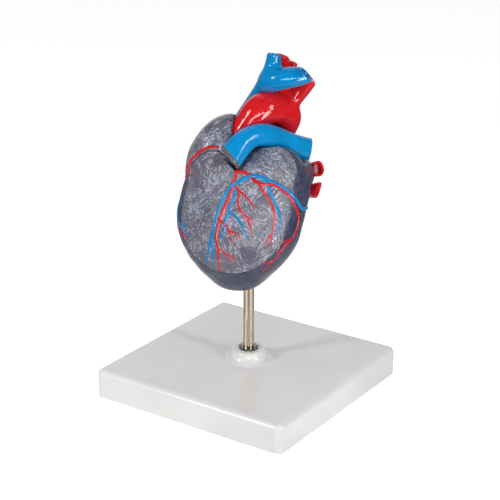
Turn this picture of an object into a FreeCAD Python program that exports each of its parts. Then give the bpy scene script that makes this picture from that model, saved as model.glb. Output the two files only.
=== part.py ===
import FreeCAD, Part
import math
import os
import Sketcher

# Two-part heart model with its conduction system, on a rod and a square base.
# +X is the viewer's right, -Y the front of the base, +Z up; the origin is the middle of the underside.

os.makedirs("parts", exist_ok=True)
doc = FreeCAD.newDocument("HeartModel")
Vector = FreeCAD.Vector
Rotation = FreeCAD.Rotation
up = Vector(0, 0, 1)

# Driving sizes, in millimetres and degrees.
drivingSizes = [
    ("baseSide", 120, "side of the square base"),
    ("baseThickness", 16.4, "height of the base's top face above the table"),
    ("baseWall", 2.4, "wall of the hollow base"),
    ("baseCornerRadius", 4, "upright corners of the base"),
    ("baseEdgeRadius", 3.2, "rounding round the base's top face"),
    ("bossFootRadius", 13.5, "flared collar where it meets the base"),
    ("bossTopRadius", 9.1, "flared collar at its top"),
    ("bossRise", 6.1, "height of the collar above the base"),
    ("sleeveRadius", 6.5, "sleeve under the collar that holds the rod"),
    ("sleeveFloor", 2.0, "lowest face of the sleeve"),
    ("boreFloor", 4.5, "bottom of the rod's bore"),
    ("footRadius", 5.0, "rubber foot"),
    ("footThickness", 2.2, "rubber foot"),
    ("footRim", 1.2, "rim of plastic round a foot"),
    ("baseLift", 0.6, "gap that the feet leave under the base"),
    ("footInset", 11.0, "foot centre from the base's sides"),
    ("rodRadius", 3.0, "steel rod"),
    ("rodGap", 0.05, "running gap round the rod"),
    ("rodEntry", 24.0, "length of rod inside the heart"),
    ("gripRadius", 5.4, "toothed ring on the rod"),
    ("gripThickness", 1.1, "toothed ring on the rod"),
    ("gripTooth", 1.3, "depth of the ring's notches"),
    ("gripNotch", 1.2, "width of the ring's notches"),
    ("heartApex", 61.0, "lowest point of the heart above the table"),
    ("heartHeight", 82.0, "ventricles from apex to crown"),
    ("heartHalfWidth", 36.0, "ventricles, half their width along X"),
    ("heartHalfDepth", 29.0, "ventricles, half their depth along Y"),
    ("heartWall", 2.6, "moulded heart wall"),
    ("chamberWall", 2.2, "wall of the atria and auricles"),
    ("vesselWall", 1.1, "wall of the great vessels"),
    ("partingTurn", 13.1, "turn of the parting face from the front towards +X"),
    ("partingTilt", 20.5, "upward tilt of the parting face"),
    ("partingGap", 0.25, "gap between the front wall and the rest"),
    ("frontReach", 60.0, "room in front of the parting face"),
    ("pinRadius", 0.7, "locating pins in the front wall's edge"),
    ("pinLength", 5.0, "locating pins"),
    ("pinGap", 0.08, "gap round a pin in the back wall"),
    ("socketRadius", 5.6, "socket for the rod inside the heart"),
    ("socketCap", 2.5, "closed top of the socket"),
    ("aortaRadius", 7.2, "aorta"),
    ("archBranchRadius", 2.9, "brachiocephalic and carotid arteries"),
    ("subclavianRadius", 4.6, "left subclavian artery"),
    ("pulmonaryRadius", 6.0, "pulmonary trunk and arteries"),
    ("cavaRadius", 6.5, "venae cavae"),
    ("leftVeinRadius", 5.4, "left brachiocephalic vein"),
    ("lungVeinRadius", 4.3, "pulmonary veins"),
    ("mainArteryRadius", 0.95, "main coronary arteries"),
    ("branchArteryRadius", 0.6, "coronary branches"),
    ("mainVeinRadius", 1.25, "great cardiac vein"),
    ("branchVeinRadius", 0.8, "cardiac vein branches"),
    ("rightDomeLong", 22.5, "right atrium, half its length"),
    ("rightDomeWide", 13.0, "right atrium, half its width"),
    ("leftDomeWide", 16.0, "left auricle, half its width"),
    ("leftDomeTall", 13.0, "left auricle, half its height"),
    ("leftDomeDeep", 14.0, "left auricle, half its depth"),
    ("leftAtriumWide", 21.5, "left atrium, half its width"),
    ("leftAtriumDeep", 14.0, "left atrium, half its depth and height"),
    ("septumThickness", 6.0, "wall between the ventricles"),
    ("septumLean", 6.0, "lean of the septum's foot towards -X"),
    ("septumTurn", 18.0, "turn of the septum's front edge towards +X"),
    ("plateThickness", 2.4, "ring plate that carries the valves"),
    ("tricuspidRadius", 8.6, "hole for the tricuspid valve"),
    ("mitralRadius", 7.6, "hole for the mitral valve"),
    ("aorticRadius", 5.0, "hole for the aortic valve"),
    ("leafletLength", 9.0, "depth of the valve leaflets"),
    ("leafletThickness", 0.8, "valve leaflets"),
    ("muscleRadius", 3.2, "papillary muscle at its foot"),
    ("muscleTip", 1.5, "papillary muscle at its tip"),
    ("chordRadius", 0.45, "chordae tendineae"),
    ("fibreRadius", 0.7, "conduction bundles"),
    ("twigRadius", 0.45, "fine conduction fibres"),
    ("nodeRadius", 1.8, "sinus node"),
]

sheet = doc.addObject("Spreadsheet::Sheet", "Sizes")
for row, (name, value, note) in enumerate(drivingSizes, start=1):
    sheet.set("A%d" % row, note)
    sheet.set("B%d" % row, str(value))
    sheet.setAlias("B%d" % row, name)
doc.recompute()


def size(name):
    return float(sheet.get(name))


def bind(item, **formulas):
    for prop, formula in formulas.items():
        item.setExpression(prop, formula)
    return item


def bindPlace(item, x="0", y="0", z="0"):
    for axis, formula in (("x", x), ("y", y), ("z", z)):
        item.setExpression("Placement.Base." + axis, formula)
    return item


def primitive(kind, label, formulas, place=None, turn=None):
    item = doc.addObject("Part::" + kind, label)
    bind(item, **formulas)
    if turn is not None:
        item.Placement.Rotation = turn
    return bindPlace(item, *place) if place else item


def cut(label, base, *tools):
    for count, tool in enumerate(tools, start=1):
        result = doc.addObject("Part::Cut", label if count == len(tools) else label + "Cut")
        result.Refine = False
        result.Base = base
        result.Tool = tool
        base = result
    return base


def common(label, base, tool):
    result = doc.addObject("Part::Common", label)
    result.Refine = False
    result.Base = base
    result.Tool = tool
    return result


def fuse(label, *items):
    if len(items) == 1:
        return items[0]
    result = doc.addObject("Part::MultiFuse", label)
    result.Shapes = list(items)
    return result


def group(label, *items):
    result = doc.addObject("Part::Compound", label)
    result.Links = list(items)
    return result


nodes = {}


def subPart(nodeName, item):
    item.Label = nodeName
    nodes[nodeName] = item
    return item


# ---------------------------------------------------------------- sketches and bodies of the stand

def originPlane(body, role):
    return [plane for plane in body.Origin.OriginFeatures if plane.Role == role][0]


def sketchOn(body, label, role, lift=None):
    sketch = body.newObject("Sketcher::SketchObject", label)
    sketch.AttachmentSupport = [(originPlane(body, role), "")]
    sketch.MapMode = "FlatFace"
    if lift:
        sketch.setExpression("AttachmentOffset.Base.z", lift)
    return sketch


def addLoop(sketch, corners):
    first = sketch.GeometryCount
    last = first + len(corners) - 1
    for start, end in zip(corners, corners[1:] + corners[:1]):
        sketch.addGeometry(Part.LineSegment(Vector(*start, 0), Vector(*end, 0)), False)
    for edge in range(first, last + 1):
        following = edge + 1 if edge < last else first
        sketch.addConstraint(Sketcher.Constraint("Coincident", edge, 2, following, 1))
    return first


def pinCorner(sketch, edge, x, y):
    # fixes the start of an edge at a place given by two formulas
    for kind, formula in (("DistanceX", x), ("DistanceY", y)):
        index = sketch.addConstraint(Sketcher.Constraint(kind, -1, 1, edge, 1, 1.0))
        sketch.setExpression("Constraints[%d]" % index, formula)


def polygonSketch(body, label, role, corners, lift=None):
    # corners are pairs of formulas; each corner is pinned to its own place
    sketch = sketchOn(body, label, role, lift)
    values = [(sheetValue(x), sheetValue(y)) for x, y in corners]
    first = addLoop(sketch, values)
    for offset, (x, y) in enumerate(corners):
        pinCorner(sketch, first + offset, x, y)
    return sketch


def circleSketch(body, label, role, x, y, radius, lift=None):
    sketch = sketchOn(body, label, role, lift)
    centre = Vector(sheetValue(x), sheetValue(y), 0)
    sketch.addGeometry(Part.Circle(centre, up, sheetValue(radius)), False)
    for kind, formula in (("DistanceX", x), ("DistanceY", y)):
        index = sketch.addConstraint(Sketcher.Constraint(kind, -1, 1, 0, 3, 1.0))
        sketch.setExpression("Constraints[%d]" % index, formula)
    index = sketch.addConstraint(Sketcher.Constraint("Radius", 0, 1.0))
    sketch.setExpression("Constraints[%d]" % index, radius)
    return sketch


def sheetValue(formula):
    # the present value of a formula, as a starting place for the sketch's own solver
    plain = formula.replace("Sizes.", "")
    for name, value, note in sorted(drivingSizes, key=lambda row: -len(row[0])):
        plain = plain.replace(name, repr(value))
    total = 0.0
    for term in plain.replace("- ", "+ -").split("+ "):
        factors = term.strip().split(" ")
        result = float(factors[0])
        for sign, factor in zip(factors[1::2], factors[2::2]):
            result = result * float(factor) if sign == "*" else result / float(factor)
        total += result
    return total


def pad(body, label, sketch, length, reversedWay=False):
    feature = body.newObject("PartDesign::Pad", label)
    feature.Profile = sketch
    feature.setExpression("Length", length)
    feature.Reversed = reversedWay
    body.Tip = feature
    return feature


def pocket(body, label, sketch, length, reversedWay=False):
    feature = body.newObject("PartDesign::Pocket", label)
    feature.Profile = sketch
    feature.setExpression("Length", length)
    feature.Reversed = reversedWay
    body.Tip = feature
    return feature


def fillet(body, label, base, keep, radius):
    doc.recompute()
    names = ["Edge%d" % n for n, edge in enumerate(base.Shape.Edges, start=1) if keep(edge)]
    feature = body.newObject("PartDesign::Fillet", label)
    feature.Base = (base, names)
    feature.setExpression("Radius", radius)
    body.Tip = feature
    return feature


def polar(body, label, source, count):
    feature = body.newObject("PartDesign::PolarPattern", label)
    feature.Originals = [source]
    feature.Axis = ([line for line in body.Origin.OriginFeatures if line.Role == "Z_Axis"][0], [""])
    feature.Angle = 360
    feature.Occurrences = count
    body.Tip = feature
    return feature


def isUpright(edge):
    ends = [vertex.Point for vertex in edge.Vertexes]
    return len(ends) == 2 and (ends[0] - ends[1]).cross(up).Length < 1e-4


def squareCorners(half):
    return [("-" + half, "-" + half), (half, "-" + half), (half, half), ("-" + half, half)]


def basePlate():
    body = doc.addObject("PartDesign::Body", "BasePlate")
    block = pad(body, "BaseBlock",
                squareSketch(body, "BaseOutline", "Sizes.baseSide", "Sizes.baseLift"),
                "Sizes.baseThickness - Sizes.baseLift")
    corners = fillet(body, "BaseCorners", block, isUpright, "Sizes.baseCornerRadius")
    topFace = size("baseThickness")
    rim = fillet(body, "BaseRim", corners,
                 lambda edge: all(abs(v.Z - topFace) < 1e-4 for v in edge.Vertexes),
                 "Sizes.baseEdgeRadius")
    doc.recompute()
    solidVolume = rim.Shape.Volume
    hollow = pocket(body, "BaseHollow",
                    squareSketch(body, "HollowOutline", "Sizes.baseSide - Sizes.baseWall * 2",
                                 "Sizes.baseLift"),
                    "Sizes.baseThickness - Sizes.baseLift - Sizes.baseWall", True)
    doc.recompute()
    assert hollow.Shape.Volume < 0.5 * solidVolume, "the base is not hollow"
    collar(body)
    footBoss = pad(body, "FootBoss",
                   circleSketch(body, "FootBossOutline", "XY_Plane",
                                "0.5 * Sizes.baseSide - Sizes.footInset",
                                "0.5 * Sizes.baseSide - Sizes.footInset",
                                "Sizes.footRadius + Sizes.footRim", "Sizes.baseLift"),
                   "Sizes.baseThickness - Sizes.baseLift - 0.5 * Sizes.baseWall")
    polar(body, "FootBosses", footBoss, 4)
    seat = pocket(body, "FootSeat",
                  circleSketch(body, "FootSeatOutline", "XY_Plane",
                               "0.5 * Sizes.baseSide - Sizes.footInset",
                               "0.5 * Sizes.baseSide - Sizes.footInset",
                               "1 * Sizes.footRadius", "Sizes.baseLift"),
                  "Sizes.footThickness - Sizes.baseLift", True)
    polar(body, "FootSeats", seat, 4)
    bore = pocket(body, "RodBore",
                  circleSketch(body, "RodBoreOutline", "XY_Plane", "0 * Sizes.baseSide",
                               "0 * Sizes.baseSide", "Sizes.rodRadius + Sizes.rodGap",
                               "Sizes.boreFloor"),
                  "Sizes.baseThickness + Sizes.bossRise", True)
    doc.recompute()
    assert bore.Shape.isInside(Vector(0, 0, size("boreFloor") + 1), 1e-3, True) is False
    return body


def squareSketch(body, label, side, lift):
    sketch = sketchOn(body, label, "XY_Plane", lift)
    half = sheetValue(side) / 2
    addLoop(sketch, [(-half, -half), (half, -half), (half, half), (-half, half)])
    for edge, kind in enumerate(("Horizontal", "Vertical", "Horizontal", "Vertical")):
        sketch.addConstraint(Sketcher.Constraint(kind, edge))
    sketch.addConstraint(Sketcher.Constraint("Symmetric", 0, 1, 2, 1, -1, 1))
    for edge in (0, 1):
        index = sketch.addConstraint(Sketcher.Constraint("Distance", edge, 2 * half))
        sketch.setExpression("Constraints[%d]" % index, side)
    return sketch


def collar(body):
    # flared collar on the base and the sleeve under it, turned about the rod's axis
    sketch = sketchOn(body, "CollarProfile", "XZ_Plane")
    deck = size("baseThickness")
    crown = deck + size("bossRise")
    foot = size("bossFootRadius")
    top = size("bossTopRadius")
    root = deck - size("baseWall")
    sleeve = size("sleeveRadius")
    floor = size("sleeveFloor")
    hip = Vector(top + 0.22 * (foot - top), deck + 0.34 * size("bossRise"), 0)
    lip = 0.2 * size("bossRise")
    corners = [(0, floor), (sleeve, floor), (sleeve, root), (foot, root), (foot, deck)]
    for start, end in zip(corners, corners[1:]):
        sketch.addGeometry(Part.LineSegment(Vector(*start, 0), Vector(*end, 0)), False)
    flare = Part.Arc(Vector(foot, deck, 0), hip, Vector(top, crown - lip, 0))
    sketch.addGeometry(flare, False)
    shoulder = Vector(top - lip * (1 - math.cos(math.pi / 4)), crown - lip * (1 - math.sin(math.pi / 4)), 0)
    sketch.addGeometry(Part.Arc(Vector(top, crown - lip, 0), shoulder, Vector(top - lip, crown, 0)), False)
    sketch.addGeometry(Part.LineSegment(Vector(top - lip, crown, 0), Vector(0, crown, 0)), False)
    sketch.addGeometry(Part.LineSegment(Vector(0, crown, 0), Vector(0, floor, 0)), False)
    feature = body.newObject("PartDesign::Revolution", "Collar")
    feature.Profile = sketch
    feature.ReferenceAxis = (sketch, ["V_Axis"])
    feature.Angle = 360
    body.Tip = feature
    return feature


def baseFeet():
    feet = []
    for x, y in ((1, 1), (-1, 1), (-1, -1), (1, -1)):
        place = ("%d * (Sizes.baseSide / 2 - Sizes.footInset)" % x,
                 "%d * (Sizes.baseSide / 2 - Sizes.footInset)" % y, "0")
        feet.append(primitive("Cylinder", "Foot", {"Radius": "Sizes.footRadius",
                                                   "Height": "Sizes.footThickness"}, place))
    return group("Feet", *feet)


def gripRing():
    body = doc.addObject("PartDesign::Body", "GripRing")
    seat = "Sizes.baseThickness + Sizes.bossRise"
    pad(body, "RingDisc", circleSketch(body, "RingOutline", "XY_Plane", "0 * Sizes.baseSide",
                                       "0 * Sizes.baseSide", "1 * Sizes.gripRadius", seat),
        "Sizes.gripThickness")
    pocket(body, "RingBore", circleSketch(body, "RingBoreOutline", "XY_Plane", "0 * Sizes.baseSide",
                                          "0 * Sizes.baseSide", "1 * Sizes.rodRadius", seat),
           "Sizes.gripThickness", True)
    notch = pocket(body, "Notch", polygonSketch(body, "NotchOutline", "XY_Plane", [
        ("Sizes.gripRadius - Sizes.gripTooth", "-0.5 * Sizes.gripNotch"),
        ("Sizes.gripRadius + Sizes.gripTooth", "-0.5 * Sizes.gripNotch"),
        ("Sizes.gripRadius + Sizes.gripTooth", "0.5 * Sizes.gripNotch"),
        ("Sizes.gripRadius - Sizes.gripTooth", "0.5 * Sizes.gripNotch")], seat),
        "Sizes.gripThickness", True)
    polar(body, "Notches", notch, 12)
    return body


def partBase(whole):
    # the moulding in two nodes: the deck with its collar and bosses, and the four upright walls
    half = "0.5 * Sizes.baseSide"
    inner = "Sizes.baseSide - 2 * Sizes.baseWall"
    rooms = []
    for label, x, y, length, width in (
            ("FrontWall", "-" + half, "-" + half, "Sizes.baseSide", "Sizes.baseWall"),
            ("RearWall", "-" + half, half + " - Sizes.baseWall", "Sizes.baseSide", "Sizes.baseWall"),
            ("LeftWall", "-" + half, "Sizes.baseWall - " + half, "Sizes.baseWall", inner),
            ("RightWall", half + " - Sizes.baseWall", "Sizes.baseWall - " + half, "Sizes.baseWall", inner)):
        rooms.append(primitive("Box", label + "Room", {
            "Length": length, "Width": width,
            "Height": "Sizes.baseThickness - Sizes.baseWall - Sizes.baseLift"}, (x, y, "Sizes.baseLift")))
    walls = [common("BaseWall", whole, room) for room in rooms]
    return cut("BaseDeck", whole, *rooms), group("BaseWalls", *walls)


deck, walls = partBase(basePlate())
subPart("base_plate", deck)
subPart("base_walls", walls)
subPart("base_feet", baseFeet())
subPart("rod_grip_ring", gripRing())
rodTop = "Sizes.heartApex + Sizes.rodEntry"
subPart("support_rod", primitive("Cylinder", "Rod", {
    "Radius": "Sizes.rodRadius", "Height": "%s - Sizes.boreFloor - Sizes.rodGap" % rodTop},
    ("0", "0", "Sizes.boreFloor + Sizes.rodGap")))

# ---------------------------------------------------------------- heart form

# Places in the heart are shares: x of its half width, y of its half depth, z of its height from the apex.


def heartPlace(x, y, z):
    return Vector(x * size("heartHalfWidth"), y * size("heartHalfDepth"),
                  size("heartApex") + z * size("heartHeight"))


def heartFormulas(x, y, z):
    return ("%r * Sizes.heartHalfWidth" % x, "%r * Sizes.heartHalfDepth" % y,
            "Sizes.heartApex + %r * Sizes.heartHeight" % z)


# Level sections of the ventricles: height, girth and the middle's x and y, all as shares.
ventricleLevels = [
    (0.00, 0.20, -0.02, -0.32),
    (0.06, 0.39, -0.04, -0.29),
    (0.17, 0.645, -0.05, -0.255),
    (0.305, 0.88, -0.07, -0.20),
    (0.45, 0.975, -0.09, -0.12),
    (0.61, 1.00, -0.085, 0.01),
    (0.77, 0.945, -0.07, 0.11),
    (0.915, 0.67, -0.11, 0.10),
    (1.00, 0.28, -0.10, 0.12),
]


def loft(label, sections):
    result = doc.addObject("Part::Loft", label)
    result.Sections = sections
    result.Solid = True
    result.Ruled = False
    return result


def ventricleForm(label, wall):
    # an ellipse needs its long axis first, so the sections turn when the heart is deeper than wide
    halfWidth = "Sizes.heartHalfWidth"
    halfDepth = "Sizes.heartHalfDepth"
    turn = 0
    if size("heartHalfDepth") > size("heartHalfWidth"):
        halfWidth, halfDepth = halfDepth, halfWidth
        turn = 90
    sections = []
    for height, girth, x, y in ventricleLevels:
        ring = doc.addObject("Part::Ellipse", label + "Level")
        bind(ring, MajorRadius="%s * %r - %s" % (halfWidth, girth, wall),
             MinorRadius="%s * %r - %s" % (halfDepth, girth, wall))
        ring.Placement.Rotation = Rotation(up, turn)
        formulas = heartFormulas(x, y, height)
        lift = "+ (%s) * %r" % (wall, 1 - 2 * height) if wall != "0" else ""
        bindPlace(ring, formulas[0], formulas[1], formulas[2] + lift)
        sections.append(ring)
    return loft(label, sections)


def ellipsoid(label, place, halfLong, halfWide, halfDeep, shrink, turn):
    return primitive("Ellipsoid", label, {
        "Radius1": "%s - %s" % (halfLong, shrink),
        "Radius2": "%s - %s" % (halfWide, shrink),
        "Radius3": "%s - %s" % (halfDeep, shrink)}, heartFormulas(*place), turn)


ventricles = ventricleForm("VentricleForm", "0")
ventricleHollow = ventricleForm("VentricleHollow", "Sizes.heartWall")

rightDomePlace = (-0.46, -0.245, 0.894)
rightDomeTurn = Rotation(Vector(0.56, -0.83, 0), -31.3)
rightDome = ellipsoid("RightDome", rightDomePlace, "Sizes.rightDomeLong", "Sizes.rightDomeWide",
                      "Sizes.rightDomeWide", "0", rightDomeTurn)
rightDomeHollow = ellipsoid("RightDomeHollow", rightDomePlace, "Sizes.rightDomeLong",
                            "Sizes.rightDomeWide", "Sizes.rightDomeWide", "Sizes.chamberWall",
                            rightDomeTurn)

leftDomePlace = (0.44, 0.0, 0.823)
leftDomeTurn = Rotation(up, 34).multiply(Rotation(Vector(0, 1, 0), 12))
leftDome = ellipsoid("LeftDome", leftDomePlace, "Sizes.leftDomeTall", "Sizes.leftDomeWide",
                     "Sizes.leftDomeDeep", "0", leftDomeTurn)
leftDomeHollow = ellipsoid("LeftDomeHollow", leftDomePlace, "Sizes.leftDomeTall",
                           "Sizes.leftDomeWide", "Sizes.leftDomeDeep", "Sizes.chamberWall",
                           leftDomeTurn)

leftAtriumPlace = (0.14, 0.69, 0.73)
leftAtriumTurn = Rotation(up, 0)
leftAtriumForm = ellipsoid("LeftAtriumForm", leftAtriumPlace, "Sizes.leftAtriumDeep",
                           "Sizes.leftAtriumWide", "Sizes.leftAtriumDeep", "0", leftAtriumTurn)
leftAtriumHollow = ellipsoid("LeftAtriumHollow", leftAtriumPlace, "Sizes.leftAtriumDeep",
                             "Sizes.leftAtriumWide", "Sizes.leftAtriumDeep", "Sizes.chamberWall",
                             leftAtriumTurn)

# ---------------------------------------------------------------- parting face and front outline

partingPlace = (0.0, -0.65, 0.5)
partingTurn = Rotation(up, size("partingTurn")).multiply(
    Rotation(Vector(1, 0, 0), 90 - size("partingTilt")))
pullWay = partingTurn.multVec(up)

# The front wall's outline seen along its pull: under the right atrium's groove, down the pulmonary
# root, up under the pulmonary arch and over the left auricle. Shares of the half width and the height.
frontOutline = [
    (-1.60, 0.14), (-0.78, 0.18), (-0.69, 0.262), (-0.63, 0.333), (-0.475, 0.393), (-0.31, 0.428),
    (-0.19, 0.43), (0.15, 0.325), (0.235, 0.342), (0.265, 0.372), (0.30, 0.416), (0.34, 0.459),
    (0.40, 0.485), (0.47, 0.496), (0.56, 0.507), (0.64, 0.53), (0.88, 0.53), (1.15, 0.45),
    (1.60, 0.36), (1.60, -0.80), (-1.60, -0.80)]


def frontRoom(label, gap):
    # the room that the front wall owns: its outline pushed along the pull, from the parting face on
    corners = []
    for across, along in frontOutline:
        corners.append(Vector(across * size("heartHalfWidth"), along * size("heartHeight"), 0))
    edges = Part.makePolygon(corners + corners[:1])
    face = Part.Face(edges)
    if gap:
        face = Part.Face(edges.makeOffset2D(gap, 2, False, False, False))
    outline = doc.addObject("Part::Feature", label + "Outline")
    outline.Shape = face
    start = heartPlace(*partingPlace) - pullWay * gap
    outline.Placement = FreeCAD.Placement(start, partingTurn)
    room = doc.addObject("Part::Extrusion", label)
    room.Base = outline
    room.Dir = pullWay
    room.DirMode = "Custom"
    room.Solid = True
    room.setExpression("LengthFwd", "Sizes.frontReach")
    return room


frontSpace = frontRoom("FrontSpace", 0.0)
frontSpaceWide = frontRoom("FrontSpaceWide", size("partingGap"))

# ---------------------------------------------------------------- great vessels


def route(label, places, radii, radius, shrink="0"):
    # a loft through rings set square to the route, each ring turned on from the last
    points = [heartPlace(*place) for place in places]
    ways = []
    for index in range(len(points)):
        before = points[max(index - 1, 0)]
        after = points[min(index + 1, len(points) - 1)]
        ways.append((after - before).normalize())
    turn = Rotation(up, ways[0])
    rings = []
    for index, (place, share) in enumerate(zip(places, radii)):
        if index:
            turn = Rotation(ways[index - 1], ways[index]).multiply(turn)
        ring = doc.addObject("Part::Circle", label + "Ring")
        ring.setExpression("Radius", "%s * %r - %s" % (radius, share, shrink))
        ring.Placement.Rotation = turn
        bindPlace(ring, *heartFormulas(*place))
        rings.append(ring)
    return loft(label, rings)


def vessel(label, places, radii, radius):
    outer = route(label + "Outer", places, radii, radius)
    inner = route(label + "Inner", places, radii, radius, "Sizes.vesselWall")
    return outer, inner


aortaOuter, aortaInner = vessel("Aorta", [
    (0.13, 0.03, 0.745), (0.05, 0.01, 0.845), (-0.08, -0.045, 0.93), (-0.105, -0.05, 1.02),
    (-0.03, 0.02, 1.093), (0.085, 0.17, 1.152), (0.17, 0.40, 1.17), (0.225, 0.65, 1.15),
    (0.26, 0.845, 1.095), (0.185, 0.85, 1.02), (0.14, 0.825, 0.955)],
    [0.87, 0.94, 1.04, 1.08, 1.12, 1.17, 1.23, 1.2, 1.07, 0.98, 0.92], "Sizes.aortaRadius")
pulmonaryOuter, pulmonaryInner = vessel("Pulmonary", [
    (0.065, -0.70, 0.93), (0.10, -0.60, 0.975), (0.16, -0.40, 1.03), (0.25, -0.165, 1.05),
    (0.325, 0.065, 1.035), (0.42, 0.35, 0.99), (0.50, 0.59, 0.945), (0.59, 0.855, 0.897)],
    [1.12, 1.07, 1.01, 0.97, 0.97, 0.97, 0.98, 1.0], "Sizes.pulmonaryRadius")
rightPulmonaryOuter, rightPulmonaryInner = vessel("RightPulmonary", [
    (0.27, -0.02, 1.035), (0.10, 0.28, 1.04), (-0.11, 0.58, 1.045), (-0.33, 0.86, 1.04),
    (-0.49, 0.95, 1.03)], [0.8, 0.84, 0.86, 0.88, 0.9], "Sizes.pulmonaryRadius")
cavaOuter, cavaInner = vessel("UpperCava", [
    (-0.44, 0.29, 0.89), (-0.385, 0.45, 0.99), (-0.24, 0.54, 1.11), (-0.07, 0.52, 1.22),
    (0.09, 0.45, 1.325), (0.18, 0.41, 1.41), (0.20, 0.40, 1.475), (0.22, 0.40, 1.54)],
    [1.0, 1.02, 1.02, 0.97, 0.9, 0.81, 0.67, 0.59], "Sizes.cavaRadius")
leftVeinOuter, leftVeinInner = vessel("LeftVein", [
    (0.15, 0.36, 1.35), (0.25, 0.29, 1.365), (0.37, 0.30, 1.385), (0.54, 0.41, 1.40),
    (0.71, 0.61, 1.413)], [0.88, 1.0, 1.04, 0.95, 0.76], "Sizes.leftVeinRadius")
brachioOuter, brachioInner = vessel("Brachiocephalic", [
    (0.18, 0.46, 1.21), (0.21, 0.66, 1.33), (0.235, 0.69, 1.493)], [1.1, 1.0, 1.03],
    "Sizes.archBranchRadius")
carotidOuter, carotidInner = vessel("Carotid", [
    (0.25, 0.64, 1.20), (0.285, 0.79, 1.33), (0.34, 0.83, 1.45)], [0.92, 0.9, 0.88],
    "Sizes.archBranchRadius")
subclavianOuter, subclavianInner = vessel("Subclavian", [
    (0.29, 0.70, 1.18), (0.425, 0.82, 1.265), (0.55, 0.88, 1.345)], [1.04, 1.0, 0.94],
    "Sizes.subclavianRadius")
lowerCavaOuter, lowerCavaInner = vessel("LowerCava", [
    (-0.47, 0.60, 0.71), (-0.51, 0.91, 0.67), (-0.51, 1.07, 0.60), (-0.50, 1.14, 0.52)],
    [1.0, 1.0, 1.0, 1.02], "Sizes.cavaRadius")


def lungVein(label, places):
    return vessel(label, places, [1.03, 1.0, 1.0], "Sizes.lungVeinRadius")


lungVeins = {
    "left_superior_pulmonary_vein": [(0.36, 0.90, 0.70), (0.60, 0.96, 0.745), (0.735, 0.945, 0.765)],
    "left_inferior_pulmonary_vein": [(0.34, 0.93, 0.585), (0.59, 0.99, 0.595), (0.71, 1.01, 0.61)],
    "right_superior_pulmonary_vein": [(-0.15, 0.90, 0.79), (-0.36, 1.12, 0.81), (-0.52, 1.24, 0.815)],
    "right_inferior_pulmonary_vein": [(-0.06, 0.95, 0.69), (-0.20, 1.19, 0.69), (-0.30, 1.34, 0.685)],
}

# ---------------------------------------------------------------- rod socket and locating pins

socket = primitive("Cylinder", "SocketForm", {
    "Radius": "Sizes.socketRadius", "Height": "Sizes.rodEntry + Sizes.socketCap"},
    ("0", "0", "Sizes.heartApex"))
socketBore = primitive("Cylinder", "SocketBore", {
    "Radius": "Sizes.rodRadius + Sizes.rodGap", "Height": "Sizes.rodEntry + Sizes.rodGap"},
    ("0", "0", "Sizes.heartApex"))


def levelSection(height):
    # girth and middle of the ventricles at a height between two of the level sections
    for low, high in zip(ventricleLevels, ventricleLevels[1:]):
        if height <= high[0]:
            break
    share = (height - low[0]) / (high[0] - low[0])
    return [a + (b - a) * share for a, b in zip(low[1:], high[1:])]


def levelPoint(height, turn, inset=0.0):
    # a point of a level section, turned from the front towards +X
    girth, x, y = levelSection(height)
    middle = heartPlace(x, y, height)
    angle = math.radians(turn)
    return middle + Vector((size("heartHalfWidth") * girth - inset) * math.sin(angle),
                           -(size("heartHalfDepth") * girth - inset) * math.cos(angle), 0)


def seamTurn(height, low, high, inset):
    # the turn at which a level section meets the parting face
    start = heartPlace(*partingPlace)
    for _ in range(40):
        middle = (low + high) / 2
        ahead = (levelPoint(height, middle, inset) - start).dot(pullWay)
        low, high = (middle, high) if ahead > 0 else (low, middle)
    return (low + high) / 2


pinForms = []
pinHoles = []
for height, side in ((0.305, 1), (0.45, -1), (0.61, 1)):
    inset = size("heartWall") / 2
    turn = seamTurn(height, 20 * side, 150 * side, inset)
    middle = levelPoint(height, turn, inset)
    back = Rotation(up, pullWay)
    for forms, radius, shift in ((pinForms, "Sizes.pinRadius", 0.5),
                                 (pinHoles, "Sizes.pinRadius + Sizes.pinGap", 0.52)):
        pin = primitive("Cylinder", "Pin", {"Radius": radius})
        pin.Height = size("pinLength") * 2 * shift
        start = middle - pullWay * (size("pinLength") * shift)
        pin.Placement = FreeCAD.Placement(start, back)
        forms.append(pin)
pinSet = group("Pins", *pinForms)
pinHoleSet = fuse("PinHoles", *pinHoles)

# ---------------------------------------------------------------- shells of the heart

plateLow = "Sizes.heartApex + 0.7 * Sizes.heartHeight"
wide = "4 * Sizes.heartHalfWidth"


def roomBetween(label, low, height):
    box = primitive("Box", label, {"Length": wide, "Width": wide, "Height": height})
    return bindPlace(box, "-0.5 * " + wide, "-0.5 * " + wide, low)


lowerRoom = roomBetween("LowerRoom", "Sizes.heartApex", "0.7 * Sizes.heartHeight")
plateRoom = roomBetween("PlateRoom", plateLow, "Sizes.plateThickness")
upperRoom = roomBetween("UpperRoom", plateLow + " + Sizes.plateThickness", "Sizes.heartHeight")

ventricleShell = cut("VentricleShell", ventricles, ventricleHollow)
backShell = cut("BackShell", ventricleShell, frontSpaceWide, rightDomeHollow, leftAtriumHollow,
                aortaOuter, cavaInner, socket, pinHoleSet)
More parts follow.
